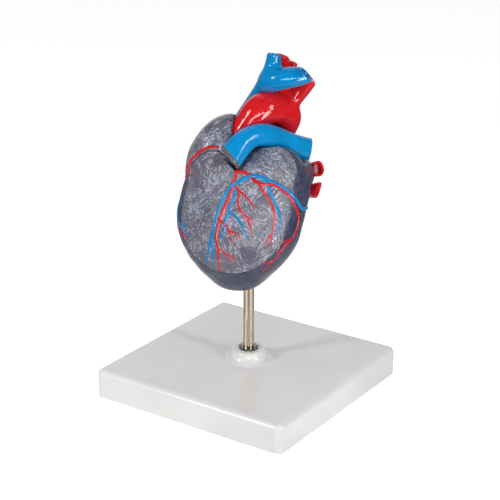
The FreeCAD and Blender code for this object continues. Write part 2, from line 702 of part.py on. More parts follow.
# the back wall is drawn as right and left halves of the apex, the ventricles and the crown
midline = "-0.13 * Sizes.heartHalfWidth"
backParts = []
for low, height in (("Sizes.heartApex", "0.3 * Sizes.heartHeight"),
                    ("Sizes.heartApex + 0.3 * Sizes.heartHeight",
                     "0.4 * Sizes.heartHeight + Sizes.plateThickness"),
                    (plateLow + " + Sizes.plateThickness", "Sizes.heartHeight")):
    for start in (midline + " - " + wide, midline):
        box = primitive("Box", "BackRoom", {"Length": wide, "Width": wide, "Height": height},
                        (start, "-0.5 * " + wide, low))
        backParts.append(common("BackPart", backShell, box))
subPart("back_wall", group("BackWall", *backParts))
subPart("front_wall", cut("FrontWall", common("FrontShell", ventricleShell, frontSpace), pinSet))
subPart("locating_pins", pinSet)
subPart("right_atrium", cut("RightAtrium", rightDome, rightDomeHollow, ventricles, frontSpaceWide,
                            aortaOuter, cavaOuter))
subPart("left_atrium", cut("LeftAtrium", leftAtriumForm, leftAtriumHollow, ventricles))
leftAuricleShell = cut("LeftAuricleShell", leftDome, leftDomeHollow, ventricles)
subPart("left_auricle", common("LeftAuricle", leftAuricleShell, frontSpace))
subPart("left_auricle_root", cut("LeftAuricleRoot", leftAuricleShell, frontSpaceWide, leftAtriumForm))
subPart("rod_socket", cut("RodSocket", common("SocketInside", socket, ventricles), socketBore))

# ---------------------------------------------------------------- vessels

subPart("aorta", cut("AortaTube", aortaOuter, aortaInner))
subPart("left_subclavian_artery", cut("SubclavianTube", subclavianOuter, subclavianInner, aortaOuter))
subPart("brachiocephalic_artery", cut("BrachiocephalicTube", brachioOuter, brachioInner, aortaOuter,
                                      cavaOuter, subclavianOuter))
subPart("left_carotid_artery", cut("CarotidTube", carotidOuter, carotidInner, aortaOuter,
                                   subclavianOuter, brachioOuter))
subPart("pulmonary_trunk", cut("PulmonaryTube", pulmonaryOuter, ventricles, aortaOuter, leftDome,
                               leftAtriumForm, frontSpaceWide, pulmonaryInner))
subPart("right_pulmonary_artery", cut("RightPulmonaryTube", rightPulmonaryOuter, rightPulmonaryInner,
                                      pulmonaryOuter, aortaOuter, cavaOuter, ventricles,
                                      leftAtriumForm))
subPart("superior_vena_cava", cut("UpperCavaTube", cavaOuter, cavaInner, ventricles, aortaOuter))
subPart("left_brachiocephalic_vein", cut("LeftVeinTube", leftVeinOuter, leftVeinInner, cavaOuter,
                                         aortaOuter, subclavianOuter))
subPart("inferior_vena_cava", cut("LowerCavaTube", lowerCavaOuter, lowerCavaInner, ventricles,
                                  leftAtriumForm))
for name, places in lungVeins.items():
    outer, inner = lungVein(name, places)
    subPart(name, cut(name + "Tube", outer, leftAtriumForm, ventricles, inner))

# ---------------------------------------------------------------- septum, ring plate and valves

septumMiddle = heartPlace(-0.13, 0.03, 0.70)
septumTurn = Rotation(up, size("septumTurn")).multiply(Rotation(Vector(0, 1, 0), size("septumLean")))


def septumPlace(side, along, rise):
    # side: distance from the septum's middle face; along and rise: shares of half depth and height
    local = Vector(side, along * size("heartHalfDepth"), rise * size("heartHeight"))
    return septumMiddle + septumTurn.multVec(local)


septumSlab = primitive("Box", "SeptumSlab", {
    "Length": "Sizes.septumThickness", "Width": "4 * Sizes.heartHalfDepth",
    "Height": "2 * Sizes.heartHeight"})
septumSlab.Placement = FreeCAD.Placement(Vector(0, 0, 0), septumTurn)
corner = septumPlace(-size("septumThickness") / 2, -2, -1)
bindPlace(septumSlab, repr(corner.x), repr(corner.y), repr(corner.z))
septumForm = common("SeptumForm", septumSlab, ventricleHollow)
subPart("ventricular_septum", cut("VentricularSeptum", common("SeptumBelow", septumForm, lowerRoom),
                                  frontSpaceWide, socket))
subPart("atrial_septum", cut("AtrialSeptum", common("SeptumAbove", septumForm, upperRoom),
                             frontSpaceWide, aortaOuter, cavaInner))

valves = {
    "tricuspid_valve": ((-0.52, 0.10), "Sizes.tricuspidRadius", 3, -1),
    "mitral_valve": ((0.50, 0.36), "Sizes.mitralRadius", 2, -1),
    "aortic_valve": ((0.13, 0.03), "Sizes.aorticRadius", 3, 1),
}


def valve(label, place, radius, leaflets, way):
    # a ring that fills its hole in the plate and a funnel of leaflets parted by slits
    x = "%r * Sizes.heartHalfWidth" % place[0]
    y = "%r * Sizes.heartHalfDepth" % place[1]
    ring = cut(label + "Ring",
               primitive("Cylinder", label + "Rim", {"Radius": radius,
                                                     "Height": "Sizes.plateThickness"}, (x, y, plateLow)),
               primitive("Cylinder", label + "Mouth", {"Radius": radius + " - 2 * Sizes.leafletThickness",
                                                       "Height": "Sizes.plateThickness"},
                         (x, y, plateLow)))
    length = "Sizes.leafletLength" if way < 0 else "0.6 * Sizes.leafletLength"
    low = plateLow + " - Sizes.leafletLength" if way < 0 else plateLow + " + Sizes.plateThickness"
    wideEnd = radius + " - Sizes.leafletThickness"
    narrowEnd = "0.5 * " + radius
    below, above = (narrowEnd, wideEnd) if way < 0 else (wideEnd, narrowEnd)
    outer = primitive("Cone", label + "Funnel", {"Radius1": below, "Radius2": above,
                                                 "Height": length}, (x, y, low))
    inner = primitive("Cone", label + "Bore", {"Radius1": below + " - Sizes.leafletThickness",
                                               "Radius2": above + " - Sizes.leafletThickness",
                                               "Height": length}, (x, y, low))
    slits = []
    for index in range(leaflets):
        slit = primitive("Box", label + "Slit", {"Length": radius, "Width": "Sizes.leafletThickness",
                                                 "Height": "0.8 * " + length}, (x, y, low),
                         Rotation(up, 30 + 360.0 * index / leaflets))
        if way > 0:
            slit.setExpression("Placement.Base.z", low + " + 0.2 * " + length)
        slits.append(slit)
    return fuse(label, ring, cut(label + "Leaflets", outer, inner, *slits))


holes = []
for name, (place, radius, leaflets, way) in valves.items():
    subPart(name, valve(name, place, radius, leaflets, way))
    holes.append(primitive("Cylinder", name + "Hole", {"Radius": radius, "Height": "Sizes.plateThickness"},
                           ("%r * Sizes.heartHalfWidth" % place[0],
                            "%r * Sizes.heartHalfDepth" % place[1], plateLow)))
subPart("valve_plate", cut("ValvePlate", common("PlateForm", plateRoom, ventricleHollow),
                           frontSpaceWide, aortaOuter, *holes))


def pulmonaryValve():
    # three cusps across the trunk's bore
    start = heartPlace(0.15, -0.44, 1.02)
    way = (heartPlace(0.25, -0.165, 1.05) - heartPlace(0.10, -0.60, 0.975)).normalize()
    turn = Rotation(up, way)
    disc = primitive("Cylinder", "CuspDisc", {
        "Radius": "0.95 * Sizes.pulmonaryRadius - Sizes.vesselWall", "Height": "Sizes.leafletThickness"})
    disc.Placement = FreeCAD.Placement(start, turn)
    slits = []
    for index in range(3):
        slit = primitive("Box", "CuspSlit", {"Length": "0.8 * Sizes.pulmonaryRadius",
                                             "Width": "0.6 * Sizes.leafletThickness",
                                             "Height": "3 * Sizes.leafletThickness"})
        slit.Placement = FreeCAD.Placement(start - way * size("leafletThickness"),
                                           turn.multiply(Rotation(up, 120 * index)))
        slits.append(slit)
    return cut("PulmonaryCusps", disc, *slits)


subPart("pulmonary_valve", pulmonaryValve())

# ---------------------------------------------------------------- papillary muscles and chordae

muscles = {
    "tricuspid_valve": [((-0.74, 0.22, 0.28), (-0.58, 0.14, 0.50)), ((-0.62, 0.60, 0.28), (-0.47, 0.24, 0.49))],
    "mitral_valve": [((0.60, 0.20, 0.26), (0.53, 0.32, 0.49)), ((0.24, 0.66, 0.26), (0.40, 0.44, 0.49))],
}


def between(label, kind, start, end, formulas):
    item = primitive(kind, label, formulas)
    item.Height = (end - start).Length
    item.Placement = FreeCAD.Placement(start, Rotation(up, end - start))
    return item


muscleForms = []
chords = []
for name, pairs in muscles.items():
    place, radius, leaflets, way = valves[name]
    rim = 0.5 * size(radius.replace("Sizes.", "")) - size("leafletThickness") / 2
    low = size("heartApex") + 0.7 * size("heartHeight") - size("leafletLength")
    middle = Vector(place[0] * size("heartHalfWidth"), place[1] * size("heartHalfDepth"), low)
    for index, (foot, tip) in enumerate(pairs):
        start = heartPlace(*foot)
        end = heartPlace(*tip)
        body = between("Muscle", "Cone", start, end, {"Radius1": "Sizes.muscleRadius",
                                                      "Radius2": "Sizes.muscleTip"})
        crown = primitive("Sphere", "MuscleTip", {"Radius": "Sizes.muscleTip"}, heartFormulas(*tip))
        muscleForms.append(fuse("MuscleForm", body, crown))
        for spread in (-38, 0, 38):
            aim = math.degrees(math.atan2(end.y - middle.y, end.x - middle.x)) + spread
            edge = middle + Vector(rim * math.cos(math.radians(aim)), rim * math.sin(math.radians(aim)), 0)
            chords.append(between("Chord", "Cylinder", end, edge, {"Radius": "Sizes.chordRadius"}))
muscleSet = group("Muscles", *muscleForms)
subPart("papillary_muscles", cut("PapillaryMuscles", common("MusclesInside", muscleSet, ventricleHollow),
                                 septumSlab))
subPart("chordae_tendineae", cut("Chordae", group("Chords", *chords), muscleSet,
                                 nodes["tricuspid_valve"], nodes["mitral_valve"]))

# ---------------------------------------------------------------- tubes along a route


def roundedPath(points):
    # straight runs joined by tangent arcs
    edges = []
    here = points[0]
    for before, corner, after in zip(points, points[1:], points[2:]):
        inWay = (corner - before).normalize()
        outWay = (after - corner).normalize()
        angle = inWay.getAngle(outWay)
        if angle < 0.02:
            continue
        reach = 0.45 * min((corner - before).Length, (after - corner).Length)
        start = corner - inWay * reach
        end = corner + outWay * reach
        radius = reach / math.tan(angle / 2)
        bulge = corner + (outWay - inWay).normalize() * (radius / math.cos(angle / 2) - radius)
        edges.append(Part.LineSegment(here, start).toShape())
        edges.append(Part.Arc(start, bulge, end).toShape())
        here = end
    edges.append(Part.LineSegment(here, points[-1]).toShape())
    return Part.Wire(edges)


def tube(label, points, radius):
    spine = doc.addObject("Part::Feature", label + "Spine")
    spine.Shape = roundedPath(points)
    ring = doc.addObject("Part::Circle", label + "Ring")
    ring.setExpression("Radius", radius)
    ring.Placement = FreeCAD.Placement(points[0], Rotation(up, points[1] - points[0]))
    result = doc.addObject("Part::Sweep", label + "Tube")
    result.Sections = [ring]
    result.Spine = (spine, [])
    result.Solid = True
    result.Frenet = False
    return result


outerForm = fuse("OuterForm", ventricles, rightDome, leftDome, leftAtriumForm)
doc.recompute()


def surfacePoint(form, turn, height, stand=0.0):
    # where a level ray, turned from the front towards +X, leaves a form; stand lifts it off
    girth, x, y = levelSection(min(height, 1.0))
    middle = heartPlace(x, y, height)
    angle = math.radians(turn)
    way = Vector(size("heartHalfWidth") * math.sin(angle), -size("heartHalfDepth") * math.cos(angle), 0)
    inside = form.Shape.common(Part.makeLine(middle, middle + way * 2))
    far = max((vertex.Point for vertex in inside.Vertexes), key=lambda point: (point - middle).Length)
    return far + way.normalize() * stand


ridgeForms = {}


def coronary(label, routes, radii, sides=("front",), under=(), beside=()):
    # ridges half sunk in the outer form, parted at the seam and where another ridge lies over them
    tubes = []
    for index, (turns, radius) in enumerate(zip(routes, radii)):
        points = [surfacePoint(outerForm, turn, height) for turn, height in turns]
        tubes.append(tube("%sRoute%d" % (label, index), points, radius))
    form = fuse(label + "Form", *tubes)
    ridgeForms[label] = form
    ridge = cut(label + "Ridge", form, outerForm, *[ridgeForms[name] for name in under])
    for side in sides:
        name = label if len(sides) == 1 else "%s_%s" % (label, side)
        if side == "front":
            subPart(name, common(name + "Front", ridge, frontSpace))
        else:
            subPart(name, cut(name + "Back", ridge, frontSpaceWide, *beside))


mainArtery = "Sizes.mainArteryRadius"
branchArtery = "Sizes.branchArteryRadius"
mainVein = "Sizes.mainVeinRadius"
branchVein = "Sizes.branchVeinRadius"

coronary("great_cardiac_vein", [
    [(100, 0.58), (94, 0.59), (77, 0.68), (59, 0.77), (47, 0.81), (34, 0.83), (22, 0.80), (13, 0.76),
     (8, 0.69), (5, 0.61), (3, 0.51), (1, 0.42), (-7, 0.29)],
    [(1, 0.42), (2, 0.35), (1, 0.27)]], [mainVein, branchVein], ("front", "back"))
coronary("anterior_descending_artery", [
    [(18, 0.86), (17, 0.83), (15, 0.78), (13, 0.70), (11, 0.64), (9, 0.56), (7, 0.50), (7, 0.44),
     (8, 0.37), (8, 0.28), (6, 0.19)],
    [(9, 0.55), (17, 0.50), (28, 0.46)], [(17, 0.50), (23, 0.44)], [(8, 0.35), (17, 0.34), (24, 0.32)]],
    [mainArtery, branchArtery, branchArtery, branchArtery], under=("great_cardiac_vein",))
coronary("diagonal_artery", [
    [(16, 0.76), (20, 0.745), (21, 0.68), (24, 0.63), (30, 0.59), (36, 0.57), (39, 0.55)],
    [(30, 0.59), (35, 0.54), (39, 0.48)], [(21, 0.74), (29, 0.70), (38, 0.64)]],
    [branchArtery, branchArtery, branchArtery], under=("great_cardiac_vein",))
coronary("circumflex_artery", [
    [(20, 0.85), (24, 0.85), (29, 0.84), (38, 0.79), (52, 0.78), (62, 0.74), (73, 0.68), (77, 0.64),
     (87, 0.58), (92, 0.49), (91, 0.44), (85, 0.40), (77, 0.33), (67, 0.28), (63, 0.21)],
    [(85, 0.40), (76, 0.40), (68, 0.39)]], [mainArtery, branchArtery], ("front", "back"),
    under=("great_cardiac_vein",))
coronary("anterolateral_artery", [
    [(38, 0.79), (44, 0.73), (52, 0.65), (58, 0.58), (58, 0.50), (57, 0.45), (55, 0.39)]],
    [branchArtery], under=("circumflex_artery", "great_cardiac_vein"))
coronary("anterior_interventricular_vein", [
    [(16, 0.75), (17, 0.68), (16, 0.60), (14, 0.55), (12, 0.49), (13, 0.44)],
    [(16, 0.60), (27, 0.53), (37, 0.46)]], [branchVein, branchVein],
    under=("great_cardiac_vein", "anterior_descending_artery", "diagonal_artery"))
coronary("lateral_cardiac_vein", [
    [(45, 0.80), (51, 0.70), (58, 0.63), (63, 0.55), (61, 0.49), (60, 0.46)]], [branchVein],
    under=("great_cardiac_vein", "circumflex_artery", "anterolateral_artery"))
coronary("right_marginal_vein", [
    [(-53, 0.57), (-49, 0.49), (-40, 0.44), (-24, 0.40)]], [branchVein], ("front", "back"))
coronary("right_marginal_artery", [
    [(-50, 0.44), (-43, 0.40), (-36, 0.37), (-28, 0.36)]], [branchArtery], ("front", "back"))
coronary("conus_artery", [[(-30, 0.81), (-28, 0.80), (-28, 0.77)]], [branchArtery])
coronary("right_coronary_artery", [
    [(-12, 0.965), (-18, 0.965), (-24, 0.94), (-30, 0.90), (-35, 0.86), (-39, 0.81), (-42, 0.78),
     (-46, 0.73), (-62, 0.70), (-82, 0.66), (-102, 0.60), (-122, 0.52), (-140, 0.46), (-158, 0.44)]],
    [mainArtery], ("back",), beside=(cavaOuter,))
coronary("posterior_descending_artery", [
    [(-157, 0.43), (-161, 0.36), (-162, 0.27), (-160, 0.18)]], [branchArtery], ("back",),
    under=("right_coronary_artery",))
coronary("middle_cardiac_vein", [
    [(-170, 0.49), (-172, 0.40), (-173, 0.30), (-172, 0.22)]], [branchVein], ("back",))
coronary("coronary_sinus", [
    [(101, 0.58), (114, 0.56), (132, 0.53), (152, 0.51), (170, 0.50), (-174, 0.505)]],
    [mainVein], ("back",))

# ---------------------------------------------------------------- conduction system

fibre = "Sizes.fibreRadius"
twig = "Sizes.twigRadius"
clear = size("septumThickness") / 2 + size("fibreRadius") + 0.05
twigClear = size("twigRadius") + 0.15


def walk(side, stops):
    return [septumPlace(side * clear, along, rise) for along, rise in stops]


def liningPoints(stops):
    return [surfacePoint(ventricleHollow, turn, height, -twigClear) for turn, height in stops]


subPart("sinus_node", cut("SinusNode", primitive("Sphere", "SinusForm", {"Radius": "Sizes.nodeRadius"},
                                                 heartFormulas(-0.33, 0.24, 1.035)),
                          cavaOuter, rightDome, aortaOuter, ventricles))
subPart("right_bundle_branch", tube("RightBranch", walk(-1, [
    (0.30, -0.04), (0.12, -0.12), (-0.10, -0.22), (-0.30, -0.34), (-0.42, -0.46)]), fibre))
subPart("left_bundle_branch", cut("LeftBundle", fuse("LeftBranches",
    tube("LeftFront", walk(1, [(0.62, -0.06), (0.30, -0.16), (-0.05, -0.26), (-0.25, -0.38)]), fibre),
    tube("LeftBack", walk(1, [(0.30, -0.16), (0.34, -0.28), (0.22, -0.42)]), fibre)), socket))
subPart("right_purkinje_fibres", cut("RightFibres", group("RightTwigs",
    tube("RightTwigA", liningPoints([(-60, 0.22), (-75, 0.32), (-85, 0.44)]), twig),
    tube("RightTwigB", liningPoints([(-100, 0.24), (-112, 0.34), (-120, 0.46)]), twig),
    tube("RightTwigC", liningPoints([(-135, 0.22), (-140, 0.32), (-146, 0.42)]), twig)), muscleSet))
subPart("left_purkinje_fibres", cut("LeftFibres", group("LeftTwigs",
    tube("LeftTwigA", liningPoints([(75, 0.20), (82, 0.30), (92, 0.44)]), twig),
    tube("LeftTwigB", liningPoints([(112, 0.22), (118, 0.34), (124, 0.48)]), twig),
    tube("LeftTwigC", liningPoints([(150, 0.20), (152, 0.32), (150, 0.44)]), twig)), muscleSet))
subPart("front_purkinje_fibres", group("FrontTwigs",
    tube("FrontTwigA", liningPoints([(-2, 0.63), (-3, 0.56), (-6, 0.50), (-10, 0.44)]), twig),
    tube("FrontTwigB", liningPoints([(34, 0.40), (28, 0.33), (18, 0.28)]), twig)))

# ---------------------------------------------------------------- checks and export

doc.recompute()
failed = [item.Name for item in doc.Objects if {"Invalid", "Error"} & set(item.State)]
for name, item in nodes.items():
    shape = item.Shape
    if shape.isNull() or not shape.isValid() or not shape.Solids:
        failed.append(name)
assert not failed, "failed: %s" % failed
for name, item in nodes.items():
    item.Shape.exportStep("parts/%s.step" % name)
    print("%-34s %2d solids %9.1f mm3" % (name, len(item.Shape.Solids), item.Shape.Volume))
print(len(nodes), "sub-parts")
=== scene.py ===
import math
import bpy
import numpy as np
from mathutils import Matrix, Vector


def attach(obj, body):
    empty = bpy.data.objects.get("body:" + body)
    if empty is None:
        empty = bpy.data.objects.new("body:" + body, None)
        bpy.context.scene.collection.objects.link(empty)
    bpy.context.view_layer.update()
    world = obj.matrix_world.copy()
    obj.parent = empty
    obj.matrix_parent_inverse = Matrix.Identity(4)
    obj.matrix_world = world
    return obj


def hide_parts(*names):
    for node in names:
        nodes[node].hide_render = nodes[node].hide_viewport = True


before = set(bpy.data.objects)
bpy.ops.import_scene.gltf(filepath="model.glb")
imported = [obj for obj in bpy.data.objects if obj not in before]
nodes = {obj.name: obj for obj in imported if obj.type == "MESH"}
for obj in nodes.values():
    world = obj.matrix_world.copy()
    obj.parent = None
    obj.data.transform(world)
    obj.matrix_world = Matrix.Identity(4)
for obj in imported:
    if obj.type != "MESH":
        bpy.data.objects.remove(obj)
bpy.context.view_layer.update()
mm = 0.001
print("frame loaded:", len(nodes), "nodes")

# The heart is measured in shares of its half width, half depth and height above the apex, in millimetres.
heart = {
    "halfWidth": 36.0,
    "halfDepth": 29.0,
    "height": 82.0,
    "apex": 61.0,
    "wall": 2.4,
    "levels": [  # height, girth, middle x, middle y
        (0.00, 0.235, -0.045, -0.34), (0.06, 0.425, -0.065, -0.31), (0.17, 0.685, -0.08, -0.275),
        (0.305, 0.904, -0.088, -0.213), (0.45, 0.99, -0.102, -0.13), (0.61, 1.00, -0.085, 0.01),
        (0.77, 0.945, -0.07, 0.11), (0.915, 0.67, -0.11, 0.10), (1.00, 0.28, -0.10, 0.12)],
    "footRound": 3.5,  # reach of the rounding at the apex
    "topRound": 3.0,   # and at the top
    "relief": 0.28,    # height of the hand-modelled unevenness
    "reliefSpans": (9.0, 12.0, 15.0, 21.0, 11.0),
    "reliefSeed": 4,
}
tiny = 1e-6  # keeps a divisor off zero


def heartPlace(x, y, z):
    return np.array([x * heart["halfWidth"], y * heart["halfDepth"], heart["apex"] + z * heart["height"]])


# fields: negative inside, millimetres outside

def smoothCurve(knots, values):
    # natural cubic spline through the knots, as a function of an array
    knots = np.asarray(knots, float)
    values = np.asarray(values, float)
    gap = np.diff(knots)
    count = len(knots)
    system = np.eye(count)
    slopes = np.zeros((count,) + values.shape[1:])
    for k in range(1, count - 1):
        system[k, k - 1:k + 2] = gap[k - 1], 2 * (gap[k - 1] + gap[k]), gap[k]
        slopes[k] = 6 * ((values[k + 1] - values[k]) / gap[k] - (values[k] - values[k - 1]) / gap[k - 1])
    bend = np.linalg.solve(system, slopes)

    def at(where):
        where = np.clip(np.asarray(where, float), knots[0], knots[-1])
        k = np.clip(np.searchsorted(knots, where) - 1, 0, count - 2)
        a, b = knots[k + 1] - where, where - knots[k]
        g = gap[k]
        if values.ndim > 1:
            a, b, g = a[..., None], b[..., None], g[..., None]
        return (bend[k] * a ** 3 + bend[k + 1] * b ** 3) / (6 * g) + (
            values[k] / g - bend[k] * g / 6) * a + (values[k + 1] / g - bend[k + 1] * g / 6) * b
    return at


def blendUnion(a, b, reach):
    h = np.clip(reach - np.abs(a - b), 0, None) / reach
    return np.minimum(a, b) - h * h * reach / 4


def blendCut(a, b, reach):
    return -blendUnion(-a, b, reach)


def ellipsoidField(p, centre, radii, turn):
    x, y, z = (p[k] - centre[k] for k in range(3))
    local = [turn[0][k] * x + turn[1][k] * y + turn[2][k] * z for k in range(3)]
    near = np.sqrt(sum((v / r) ** 2 for v, r in zip(local, radii))) + tiny
    far = np.sqrt(sum((v / r ** 2) ** 2 for v, r in zip(local, radii))) + tiny
    return near * (near - 1) / far


girthCurve = smoothCurve([level[0] for level in heart["levels"]], [level[1:] for level in heart["levels"]])
heightTable = np.linspace(0, 1, 400)
girthTable = girthCurve(heightTable)
slopeTable = np.gradient(girthTable[:, 0], heightTable) / heart["height"]


def ventricleField(p):
    x, y, z = p
    share = np.clip((z - heart["apex"]) / heart["height"], 0, 1)
    girth, midX, midY = (np.interp(share, heightTable, girthTable[:, k]) for k in range(3))
    slope = np.interp(share, heightTable, slopeTable)
    wide, deep = girth * heart["halfWidth"], girth * heart["halfDepth"]
    dx, dy = x - midX * heart["halfWidth"], y - midY * heart["halfDepth"]
    near = np.sqrt((dx / wide) ** 2 + (dy / deep) ** 2) + tiny
    far = np.sqrt((dx / wide ** 2) ** 2 + (dy / deep ** 2) ** 2) + tiny
    halfWay = 0.5 * (heart["halfWidth"] + heart["halfDepth"])
    side = near * (near - 1) / far / np.sqrt(1 + (slope * halfWay) ** 2)
    below = heart["apex"] - z
    above = z - heart["apex"] - heart["height"]
    return blendCut(blendCut(side, -below, heart["footRound"]), -above, heart["topRound"])


def axisTurn(axis, degrees):
    return np.array(Matrix.Rotation(math.radians(degrees), 3, Vector(axis).normalized()))


domes = {  # reach: millimetres over which a dome flows into the rest
    "right": {"centre": heartPlace(-0.46, -0.245, 0.894), "radii": (13.0, 13.0, 22.5),
              "turn": axisTurn((0.56, -0.83, 0), -31.3), "reach": 2.0},
    "left": {"centre": heartPlace(0.44, 0.0, 0.823), "radii": (16.0, 14.0, 13.0),
             "turn": axisTurn((0, 0, 1), 34) @ axisTurn((0, 1, 0), 12), "reach": 1.6},
    "atrium": {"centre": heartPlace(0.14, 0.69, 0.73), "radii": (21.5, 14.0, 14.0),
               "turn": np.eye(3), "reach": 4.0},
}


fullTurn = 6.28  # radians of one wave


def ripple(p, spans, seed):
    # slow waves that cross at odd angles, between -1 and 1, for a surface modelled by hand
    rng = np.random.default_rng(seed)
    total = 0
    for span in spans:
        way = rng.normal(size=3)
        way /= np.linalg.norm(way)
        phase = rng.uniform(0, fullTurn)
        total = total + np.sin((way[0] * p[0] + way[1] * p[1] + way[2] * p[2]) * fullTurn / span + phase)
    return total / len(spans)


def heartField(p):
    whole = ventricleField(p)
    for dome in domes.values():
        bulge = ellipsoidField(p, dome["centre"], dome["radii"], dome["turn"])
        whole = blendUnion(whole, bulge, dome["reach"])
    return whole - heart["relief"] * ripple(p, heart["reliefSpans"], heart["reliefSeed"])


# parting of the front wall

parting = {
    "place": heartPlace(0.0, -0.65, 0.5),
    "turn": 13.1,  # degrees about the upright
    "tilt": 20.5,  # degrees back from upright
    "gap": 0.25,   # millimetres between the two walls
    "outline": [
        (-1.60, 0.14), (-0.78, 0.18), (-0.69, 0.262), (-0.63, 0.333), (-0.475, 0.393), (-0.31, 0.428),
        (-0.19, 0.43), (0.15, 0.325), (0.235, 0.342), (0.265, 0.372), (0.30, 0.416), (0.34, 0.459),
        (0.40, 0.485), (0.47, 0.496), (0.56, 0.507), (0.64, 0.53), (0.88, 0.53), (1.15, 0.45),
        (1.60, 0.36), (1.60, -0.80), (-1.60, -0.80)],
}
partingFrame = axisTurn((0, 0, 1), parting["turn"]) @ axisTurn((1, 0, 0), 90 - parting["tilt"])


def frontField(p):
    # distance out of the room that the front wall owns
    x, y, z = (p[k] - parting["place"][k] for k in range(3))
    across, along, ahead = (partingFrame[0][k] * x + partingFrame[1][k] * y + partingFrame[2][k] * z
                            for k in range(3))
    corners = [(a * heart["halfWidth"], b * heart["height"]) for a, b in parting["outline"]]
    nearest = np.full(np.shape(across), 1e9, np.float32)
    inside = np.zeros(np.shape(across), bool)
    for (ax, ay), (bx, by) in zip(corners, corners[1:] + corners[:1]):
        ex, ey = bx - ax, by - ay
        wx, wy = across - ax, along - ay
        t = np.clip((wx * ex + wy * ey) / (ex * ex + ey * ey), 0, 1)
        nearest = np.minimum(nearest, (wx - t * ex) ** 2 + (wy - t * ey) ** 2)
        crosses = (ay > along) != (by > along)
        side = across < ex * (along - ay) / (ey if ey else 1e-9) + ax
        inside ^= crosses & side
    nearest = np.sqrt(nearest)
    return np.maximum(np.where(inside, -nearest, nearest), -ahead)


# from a field to a mesh

def makeGrid(low, high, step):
    axes = [np.arange(a, b + step, step, dtype=np.float32) for a, b in zip(low, high)]
    return np.meshgrid(*axes, indexing="ij", sparse=True), axes


def skinOf(field, axes, step):
    # one point in each cell that the surface crosses, one face round each grid edge that it crosses
    inside = field < 0
    cells = tuple(n - 1 for n in field.shape)
    corners = [(i, j, k) for i in (0, 1) for j in (0, 1) for k in (0, 1)]

    def corner(array, at):
        return array[at[0]:at[0] + cells[0], at[1]:at[1] + cells[1], at[2]:at[2] + cells[2]]
    some = np.zeros(cells, bool)
    every = np.ones(cells, bool)
    for at in corners:
        some |= corner(inside, at)
        every &= corner(inside, at)
    active = np.argwhere(some & ~every)
    place = np.zeros((len(active), 3))
    hits = np.zeros(len(active))
    for at in corners:
        for axis in range(3):
            if at[axis]:
                continue
            to = tuple(v + (k == axis) for k, v in enumerate(at))
            a = field[tuple((active + at).T)]
            b = field[tuple((active + to).T)]
            met = (a < 0) != (b < 0)
            share = np.where(met, a / np.where(met, a - b, 1), 0)
            point = np.array(at, float) + np.eye(3)[axis] * share[:, None]
            place += np.where(met[:, None], point, 0)
            hits += met
    place = (active + place / hits[:, None]) * step + np.array([axis[0] for axis in axes])
    number = np.full(cells, -1, np.int32)
    number[tuple(active.T)] = np.arange(len(active))
    faces = []
    for axis in range(3):
        u, v = (axis + 1) % 3, (axis + 2) % 3
        lower = [slice(1, -1)] * 3
        upper = [slice(1, -1)] * 3
        lower[axis] = slice(0, -1)
        upper[axis] = slice(1, None)
        here, there = inside[tuple(lower)], inside[tuple(upper)]
        for flip, met in ((False, here & ~there), (True, ~here & there)):
            edge = np.argwhere(met)
            if not len(edge):
                continue
            edge[:, u] += 1
            edge[:, v] += 1
            ring = []
            for du, dv in ((1, 1), (0, 1), (0, 0), (1, 0)):
                cell = edge.copy()
                cell[:, u] -= du
                cell[:, v] -= dv
                ring.append(number[tuple(cell.T)])
            ring = np.stack(ring[::-1] if flip else ring, 1)
            faces.append(ring[(ring >= 0).all(1)])
    return place, np.concatenate(faces)


def withoutCrumbs(points, faces, least=60):
    # leaves out the separate shells of fewer points than the least
    label = np.arange(len(points))
    while True:
        lower = label.copy()
        np.minimum.at(lower, faces.ravel(), np.repeat(label[faces].min(1), 4))
        lower = lower[lower]
        if (lower == label).all():
            break
        label = lower
    large = np.bincount(label, minlength=len(points))[label] >= least
    number = np.cumsum(large) - 1
    return points[large], number[faces[large[faces].all(1)]]


def addObject(name, data):
    holder = bpy.data.objects.new(name, data)
    bpy.context.scene.collection.objects.link(holder)
    return holder


def meshPiece(name, points, faces, body, slot, stands, material):
    points, faces = withoutCrumbs(points, faces)
    data = bpy.data.meshes.new(name)
    data.from_pydata((points * mm).tolist(), [], faces.tolist())
    data.validate()
    data.polygons.foreach_set("use_smooth", [True] * len(data.polygons))
    data.materials.append(material)
    piece = addObject(name, data)
    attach(piece, body)
    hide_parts(*stands)


def alongRoute(places, radii, spacing=1.2):
    # a smooth route through the places, with its width at each point
    places = np.asarray(places, float)
    reach = np.r_[0, np.cumsum(np.linalg.norm(np.diff(places, axis=0), axis=1))]
    stops = np.linspace(0, reach[-1], max(3, int(reach[-1] / spacing) + 1))
    return smoothCurve(reach, places)(stops), smoothCurve(reach, radii)(stops)


def tubeField(axes, line, radii, band=3.0):
    step = float(axes[0][1] - axes[0][0])
    field = np.full([len(axis) for axis in axes], band, np.float32)
    for a, b, ra, rb in zip(line, line[1:], radii, radii[1:]):
        margin = max(ra, rb) + band
        window = []
        for axis, low, high in zip(axes, np.minimum(a, b) - margin, np.maximum(a, b) + margin):
            first = max(0, int((low - axis[0]) / step))
            last = min(len(axis), int((high - axis[0]) / step) + 2)
            window.append(slice(first, max(first, last)))
        x, y, z = np.meshgrid(*(axis[part] for axis, part in zip(axes, window)), indexing="ij", sparse=True)
        if 0 in (x.size, y.size, z.size):
            continue
        way = b - a
        square = float(way @ way) + 1e-9
        t = np.clip(((x - a[0]) * way[0] + (y - a[1]) * way[1] + (z - a[2]) * way[2]) / square, 0, 1)
        away = np.sqrt(sum((v - start - t * ahead) ** 2 for v, start, ahead in zip((x, y, z), a, way)))
        field[tuple(window)] = np.minimum(field[tuple(window)], away - (ra + (rb - ra) * t))
    return field


